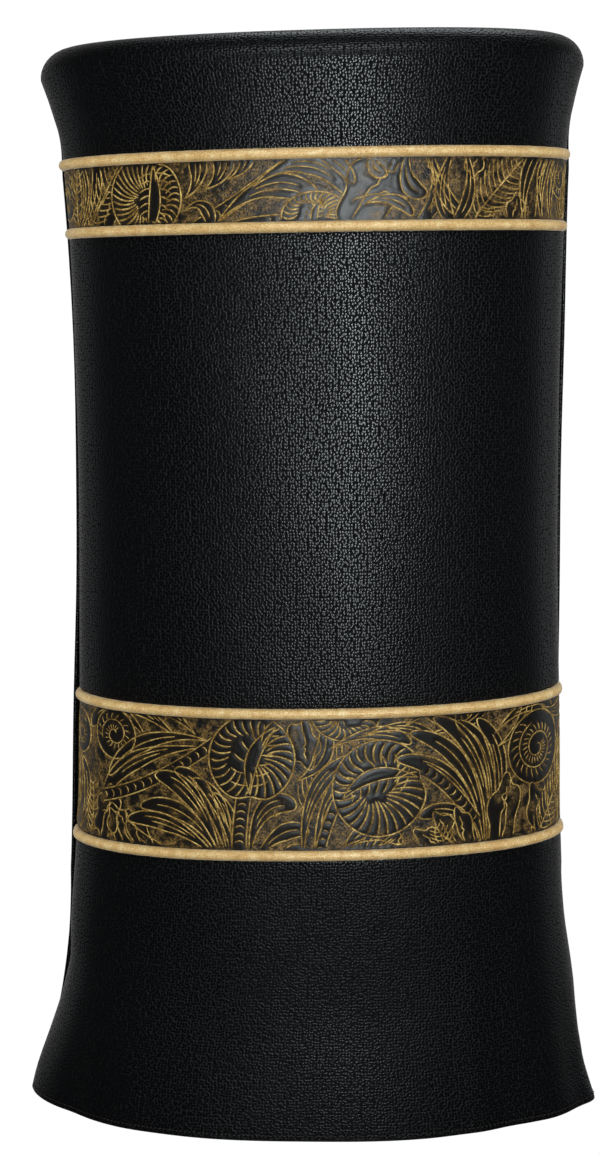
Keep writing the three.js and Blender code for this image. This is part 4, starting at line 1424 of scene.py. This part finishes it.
class MantleColours(bpy.types.PropertyGroup):
    """Colours of the mantle's materials."""

    leather: colour_setting("Leather", "Pebbled cowhide", "#070708")
    tooled: colour_setting("Tooled leather", "The stain on the tooled bands", "#0f0d0b")
    worn: colour_setting("Worn stain", "Wax in the stippled ground and where the stain is worn", "#84642e")
    gilt: colour_setting("Gilt", "Gilt wax on the raised lines", "#cfae68")
    piping: colour_setting("Piping", "Gold lame", "#c9a061")
    lining: colour_setting("Lining", "Satin lining", "#101014")
    thread: colour_setting("Thread", "Sewing thread", "#2b211b")
    surround: colour_setting("Surround", "Paper behind the mantle", "#ffffff")


# ---- Operators ----

class MANTLE_OT_stage(bpy.types.Operator):
    """Set up the camera, the soft lights, the pale surround and the paper floor"""

    bl_idname = "mantle.stage"
    bl_label = "Stage"

    def execute(self, context):
        camera = bpy.data.objects.new("camera", bpy.data.cameras.new("camera"))
        camera.data.lens = 60.96
        camera.matrix_world = (
            Matrix.Translation((0.0308, -1.3977, 0.588)) @ Matrix.Rotation(math.radians(1.70), 4, "Z")
            @ Matrix.Rotation(math.radians(81.79), 4, "X") @ Matrix.Rotation(math.radians(-0.45), 4, "Z")
        )
        scene = context.scene
        scene.collection.objects.link(camera)
        scene.camera = camera
        lights = [
            # name, power, width, height, where it stands, where it points
            ("tall_softbox", 7.4, 0.13, 0.42, (0.18, -1.72, 0.57), (0.0, 0.0, 0.50)),
            ("low_softbox", 3.1, 0.13, 0.36, (0.13, -1.72, 0.18), (0.0, 0.0, 0.30)),
            ("back_softbox", 9.0, 0.15, 0.80, (-0.10, 1.75, 0.45), (0.0, 0.0, 0.42)),
            ("high_softbox", 7.0, 0.9, 0.5, (0.10, -1.25, 1.75), (0.0, 0.0, 0.45)),
            ("low_bounce", 3.0, 0.9, 0.5, (0.05, -0.95, -1.25), (0.0, 0.0, 0.40)),
            ("left_flag", 0.7, 0.6, 1.4, (-1.45, 0.45, 0.45), (0.0, 0.0, 0.42)),
            ("right_flag", 1.3, 0.6, 1.4, (1.45, 0.45, 0.50), (0.0, 0.0, 0.42)),
            ("left_fill", 19.0, 0.8, 1.4, (-1.35, -0.75, 0.50), (0.0, 0.0, 0.42)),
            ("right_fill", 19.0, 0.8, 1.4, (1.35, -0.75, 0.50), (0.0, 0.0, 0.42)),
            ("high_fill", 7.0, 1.0, 0.6, (0.0, -1.2, 1.6), (0.0, 0.0, 0.45)),
            ("top_light", 4.0, 0.9, 0.6, (0.2, 0.7, 1.9), (0.0, 0.0, 0.7)),
        ]
        for name, power, width, height, place, target in lights:
            light = bpy.data.lights.new(name, "AREA")
            light.shape, light.size, light.size_y, light.energy = "RECTANGLE", width, height, power
            light.color = (0.90, 0.97, 1.0)
            lamp = bpy.data.objects.new(name, light)
            lamp.location = place
            aim = Matrix.Translation(target).translation - lamp.location
            lamp.rotation_euler = aim.to_track_quat("-Z", "Y").to_euler()
            lamp.visible_glossy = not name.endswith("_fill")
            lamp.visible_camera = False
            scene.collection.objects.link(lamp)
        world = bpy.data.worlds.new("paper_surround")
        world.use_nodes = True
        tree = world.node_tree
        way = add_node(tree, "ShaderNodeTexCoord").outputs["Generated"]
        split = add_node(tree, "ShaderNodeSeparateXYZ", {"Vector": way})
        behind = add_node(
            tree, "ShaderNodeMapRange",
            {
                "Value": split.outputs["Y"], "From Min": 0.25, "From Max": 0.97, "To Min": 0.015,
                "To Max": 0.28
            },
            interpolation_type="SMOOTHSTEP",
        )
        seen = add_node(tree, "ShaderNodeLightPath").outputs["Is Camera Ray"]
        lit = add_node(tree, "ShaderNodeMath", {0: behind.outputs[0], 1: seen}, operation="MAXIMUM")
        shade = add_node(
            tree, "ShaderNodeMix",
            {0: lit.outputs[0], 6: (0, 0, 0, 1), 7: (*scene.mantle_colours.surround, 1)},
            data_type="RGBA",
        )
        background = tree.nodes["Background"]
        tree.links.new(shade.outputs[2], background.inputs["Color"])
        background.inputs["Strength"].default_value = 1.02
        scene.world = world
        paper, tree, shader, place = new_finish("lit_paper", Roughness=1.0, **{"Emission Strength": 1.02})
        shader.inputs["Base Color"].default_value = (0, 0, 0, 1)
        shader.inputs["Specular IOR Level"].default_value = 0.0
        shader.inputs["Emission Color"].default_value = (*scene.mantle_colours.surround, 1)
        reach = 40.0  # the floor's half-side
        corners = [
            (-reach, -reach, -1 * MM), (reach, -reach, -1 * MM), (reach, reach, -1 * MM),
            (-reach, reach, -1 * MM)
        ]
        floor = make_mesh("paper_floor", np.array(corners), np.array([[0, 1, 2, 3]]))
        floor.data.materials.append(paper)
        floor.visible_diffuse = floor.visible_glossy = floor.visible_shadow = False
        scene.view_settings.view_transform = "Standard"
        return {"FINISHED"}


class MANTLE_OT_top(bpy.types.Operator):
    """Make the padded top: its cover, foam, lining and roller hole bindings"""

    bl_idname = "mantle.top"
    bl_label = "Padded top"

    def execute(self, context):
        sizes = context.scene.mantle_sizes
        hole = (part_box("left_roller_binding")[1].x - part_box("left_roller_binding")[0].x) / 2 - 8.5 * MM
        cover = top_plate(
            "top_cover_leather", COVER_HALF[0] + 0.2 * MM, COVER_HALF[1] + 0.2 * MM, hole, 2 * HALF_THICK,
            TOP_Z - HALF_THICK - 0.8 * MM, sizes.crown, HALF_THICK,
        )
        dress(finish(cover, pebbled_cowhide), "top", ["top_cover"])
        low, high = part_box("top_pad")
        pad = top_plate(
            "top_foam_pad", high.x - 1.5 * MM, high.y - 1.5 * MM, hole, high.z - low.z - 3 * MM,
            (low.z + high.z) / 2, 0.0, 9 * MM, rays=96, rings=12,
        )
        dress(finish(pad, polyurethane_foam), "top", ["top_pad"])
        low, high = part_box("top_lining")
        lining = top_plate(
            "top_satin_lining", high.x, high.y, hole, high.z - low.z, (low.z + high.z) / 2, 0.0, 0.3 * MM,
            rays=96, rings=10,
        )
        dress(finish(lining, black_satin), "top", ["top_lining"])
        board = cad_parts["top_board"]
        finish(board, birch_plywood)
        for name, centre in zip(("left_roller_binding", "right_roller_binding"), HOLES):
            low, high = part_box(name)
            inner, flange = hole - 1.7 * MM, (high.x - low.x) / 2
            lip = [(flange, 0.2), (flange - 0.5 * MM, 1.0), (flange - 2.5 * MM, 1.7), (flange - 5 * MM, 1.9)]
            roll = [(inner + 3.2 * MM, 1.9), (inner + 1.2 * MM, 1.3), (inner + 0.2 * MM, 0.2), (inner, -1.6)]
            profile = [(r, high.z + (z - 1.9) * MM) for r, z in lip + roll]
            profile += [(inner, low.z + 1 * MM), (inner + 0.4 * MM, low.z), (inner + 1.0 * MM, low.z)]
            profile += [(inner + 1.2 * MM, low.z + 1 * MM), (inner + 1.2 * MM, high.z - 3.6 * MM)]
            profile += [(inner + 2.2 * MM, high.z - 2.2 * MM), (flange - 0.6 * MM, high.z - 2.2 * MM)]
            ring = lathe(name + "_leather", centre, np.array(profile))
            dress(finish(ring, pebbled_cowhide), "top", [name])
            turn = np.arange(0, 2 * np.pi, sizes.stitch_pitch / (flange - 2.6 * MM))
            where = np.stack([
                centre.x + (flange - 2.6 * MM) * np.cos(turn), centre.y + (flange - 2.6 * MM) * np.sin(turn),
                np.full(len(turn), high.z - 0.1 * MM),
            ], axis=1)
            ways = np.stack([-np.sin(turn), np.cos(turn), 0 * turn], axis=1)
            ups = np.broadcast_to([0.0, 0, 1], ways.shape)
            row = stitch_row(name + "_stitches", tilted(where), ways, ups)
            dress(finish(row, waxed_thread), "top")
        return {"FINISHED"}


class MANTLE_OT_yokes(bpy.types.Operator):
    """Make the front yoke, which turns over the shoulder to the top seam"""

    bl_idname = "mantle.yokes"
    bl_label = "Front yoke"

    def execute(self, context):
        low = PIPINGS[0] + TUCK
        front = leather_panel(
            "front_yoke_leather", "front", low, YOKE_TOP, row_height=3.5 * MM, relief=yoke_seam
        )
        dress(finish(front, pebbled_cowhide), "top", ["front_yoke"])
        return {"FINISHED"}


class MANTLE_OT_front_panels(bpy.types.Operator):
    """Make the front flap's plain leather: the middle panel and the skirt"""

    bl_idname = "mantle.front_panels"
    bl_label = "Front panels"

    def execute(self, context):
        pieces = [
            ("front_middle_panel", PIPINGS[2] + TUCK, PIPINGS[1] - TUCK, False),
            ("front_skirt", 0.0, PIPINGS[3] - TUCK, True),
        ]
        for node, low, high, hem in pieces:
            panel = leather_panel(node + "_leather", "front", low, high, hem=hem)
            dress(finish(panel, pebbled_cowhide), "front_flap", [node])
        return {"FINISHED"}


class MANTLE_OT_bands(bpy.types.Operator):
    """Make the two tooled bands and the gilt lines raised on them"""

    bl_idname = "mantle.bands"
    bl_label = "Tooled bands"

    def execute(self, context):
        ridge = context.scene.mantle_sizes.ridge
        bands = [
            ("front_upper_band", PIPINGS[1] + TUCK, PIPINGS[0] - TUCK, upper_band_design()),
            ("front_lower_band", PIPINGS[3] + TUCK, PIPINGS[2] - TUCK, lower_band_design()),
        ]
        for node, low, high, design in bands:
            middle = (low + high) / 2

            def embossed(s, climb):
                s, v = s / MM, (climb - middle) / MM
                rasters = {"rub": design.rubbed, "ground": design.ground}
                values = {key: design.read(raster, s, v) for key, raster in rasters.items()}
                return design.read(design.height, s, v) * MM, values

            band = leather_panel(
                node + "_leather", "front", low, high, relief=embossed, column_width=1.15 * MM,
                row_height=1.15 * MM
            )
            dress(finish(band, tooled_cowhide), "front_flap", [node])
            lines = tooling_lines(node + "_gilt_lines", design, middle, ridge)
            dress(finish(lines, rubbed_gilt), "front_flap")
        return {"FINISHED"}


class MANTLE_OT_pipings(bpy.types.Operator):
    """Make the four gold pipings and the cords inside them"""

    bl_idname = "mantle.pipings"
    bl_label = "Pipings"

    def execute(self, context):
        sizes = context.scene.mantle_sizes
        for name, climb in zip(PIPING_NAMES, PIPINGS):
            distance, from_end, path = piping_path(climb, 6.5 * MM, sizes.standoff)
            rough = 1 + 0.012 * np.sin(
                distance * 410 + 40 * climb
            ) + 0.010 * np.sin(distance * 977 + 9 * climb)
            radius = sizes.piping * rough * np.sqrt(1 - np.clip(1 - from_end / (3.2 * MM), 0, 0.97) ** 2)
            cover = sweep(name + "_lame", path, (0, 0, 1), radius, sides=20)
            wall = cover.modifiers.new("wall", "SOLIDIFY")
            wall.thickness, wall.offset = 0.7 * MM, -1
            dress(finish(cover, gold_lame), "front_flap", [name + "_cover"])
            distance, from_end, path = piping_path(climb, 9 * MM, sizes.standoff, step=1.2 * MM)
            cord = sweep(
                name + "_filler", path, (0, 0, 1), sizes.piping - 1.15 * MM, sides=18,
                twist=distance * 2 * np.pi / (9 * MM) / 3, lobes=3, lobe_depth=0.10,
            )
            dress(finish(cord, cotton_cord), "front_flap", [name + "_cord"])
        return {"FINISHED"}


class MANTLE_OT_back(bpy.types.Operator):
    """Make the plain back in one piece, from the hem over the shoulder to the top seam"""

    bl_idname = "mantle.back"
    bl_label = "Back"

    def execute(self, context):
        back = leather_panel(
            "back_leather", "back", 0.0, YOKE_TOP, row_height=5 * MM, hem=True, relief=yoke_seam
        )
        dress(finish(back, pebbled_cowhide), "back_flap", ["back_panel", "back_yoke"])
        area, width = flat_area("back", 0, SIDE_TOP)
        area += (YOKE_TOP - SIDE_TOP) * width * 0.9
        return {"FINISHED"}


class MANTLE_OT_linings(bpy.types.Operator):
    """Make the satin linings and the canvas between them and the leather"""

    bl_idname = "mantle.linings"
    bl_label = "Linings"

    def execute(self, context):
        for half, body in HALVES.items():
            low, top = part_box(half + "_interlining")[0].z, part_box(half + "_interlining")[1].z
            canvas = cloth_sheet(half + "_canvas", half, low + 9 * MM, top, 2.4 * MM, 1.0 * MM, 12 * MM)
            dress(finish(canvas, stiffener_canvas), body, [half + "_interlining"])
            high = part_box(half + "_yoke_lining")[1].z
            satin = cloth_sheet(half + "_satin", half, low, high, 3.9 * MM, 0.6 * MM, 6 * MM, wave=1.0 * MM)
            dress(finish(satin, black_satin), body, [half + "_lining", half + "_yoke_lining"])
        return {"FINISHED"}


class MANTLE_OT_stitches(bpy.types.Operator):
    """Make the stitches of the hems, the back's edges and the top seam"""

    bl_idname = "mantle.stitches"
    bl_label = "Stitches"

    def execute(self, context):
        pitch = context.scene.mantle_sizes.stitch_pitch
        for half, body in HALVES.items():
            share = row_shares(half, 0.004, 5 * MM)
            row = stitches_on(half + "_hem_stitches", half, share, 0 * share + 4.2 * MM)
            dress(finish(row, waxed_thread), body, [half + "_hem_thread"])
            share = row_shares(half, SIDE_TOP, 6 * MM)
            seam = stitches_on(
                half + "_top_seam_stitches", half, share, 0 * share + YOKE_TOP - 2.6 * MM, -0.7 * MM
            )
            dress(finish(seam, waxed_thread), "top")
        climb = np.arange(7 * MM, SLIT_TOP - 6 * MM, pitch)
        inset = 2.6 * MM / length_at("back", climb)
        # seen from behind the back's shares run the other way: its right edge is at share 0
        for name, share in (("back_right_edge", inset), ("back_left_edge", 1 - inset)):
            row = stitches_on(name + "_stitches", "back", share, climb, -0.45 * MM)
            dress(finish(row, waxed_thread), "back_flap", [name + "_thread"])
        return {"FINISHED"}


class MANTLE_PT_panel(bpy.types.Panel):
    """The mantle's steps in the sidebar"""

    bl_idname = "MANTLE_PT_panel"
    bl_label = "Scroll mantle"
    bl_space_type = "VIEW_3D"
    bl_region_type = "UI"
    bl_category = "Mantle"

    def draw(self, context):
        for group in (context.scene.mantle_sizes, context.scene.mantle_colours):
            for key in group.__annotations__:
                self.layout.prop(group, key)
        for step in STEPS:
            self.layout.operator(step.bl_idname)


STEPS = [
    MANTLE_OT_stage, MANTLE_OT_top, MANTLE_OT_yokes, MANTLE_OT_front_panels, MANTLE_OT_bands,
    MANTLE_OT_pipings,
    MANTLE_OT_back, MANTLE_OT_linings, MANTLE_OT_stitches,
]
CLASSES = [MantleSizes, MantleColours, *STEPS, MANTLE_PT_panel]


def register():
    for each in CLASSES:
        bpy.utils.register_class(each)
    bpy.types.Scene.mantle_sizes = PointerProperty(type=MantleSizes)
    bpy.types.Scene.mantle_colours = PointerProperty(type=MantleColours)


def unregister():
    del bpy.types.Scene.mantle_colours
    del bpy.types.Scene.mantle_sizes
    for each in reversed(CLASSES):
        bpy.utils.unregister_class(each)


def main():
    """Makes the stage and every piece, in order."""
    register()
    for step in STEPS:
        group, name = step.bl_idname.split(".")
        getattr(getattr(bpy.ops, group), name)()


if __name__ == "__main__":
    main()
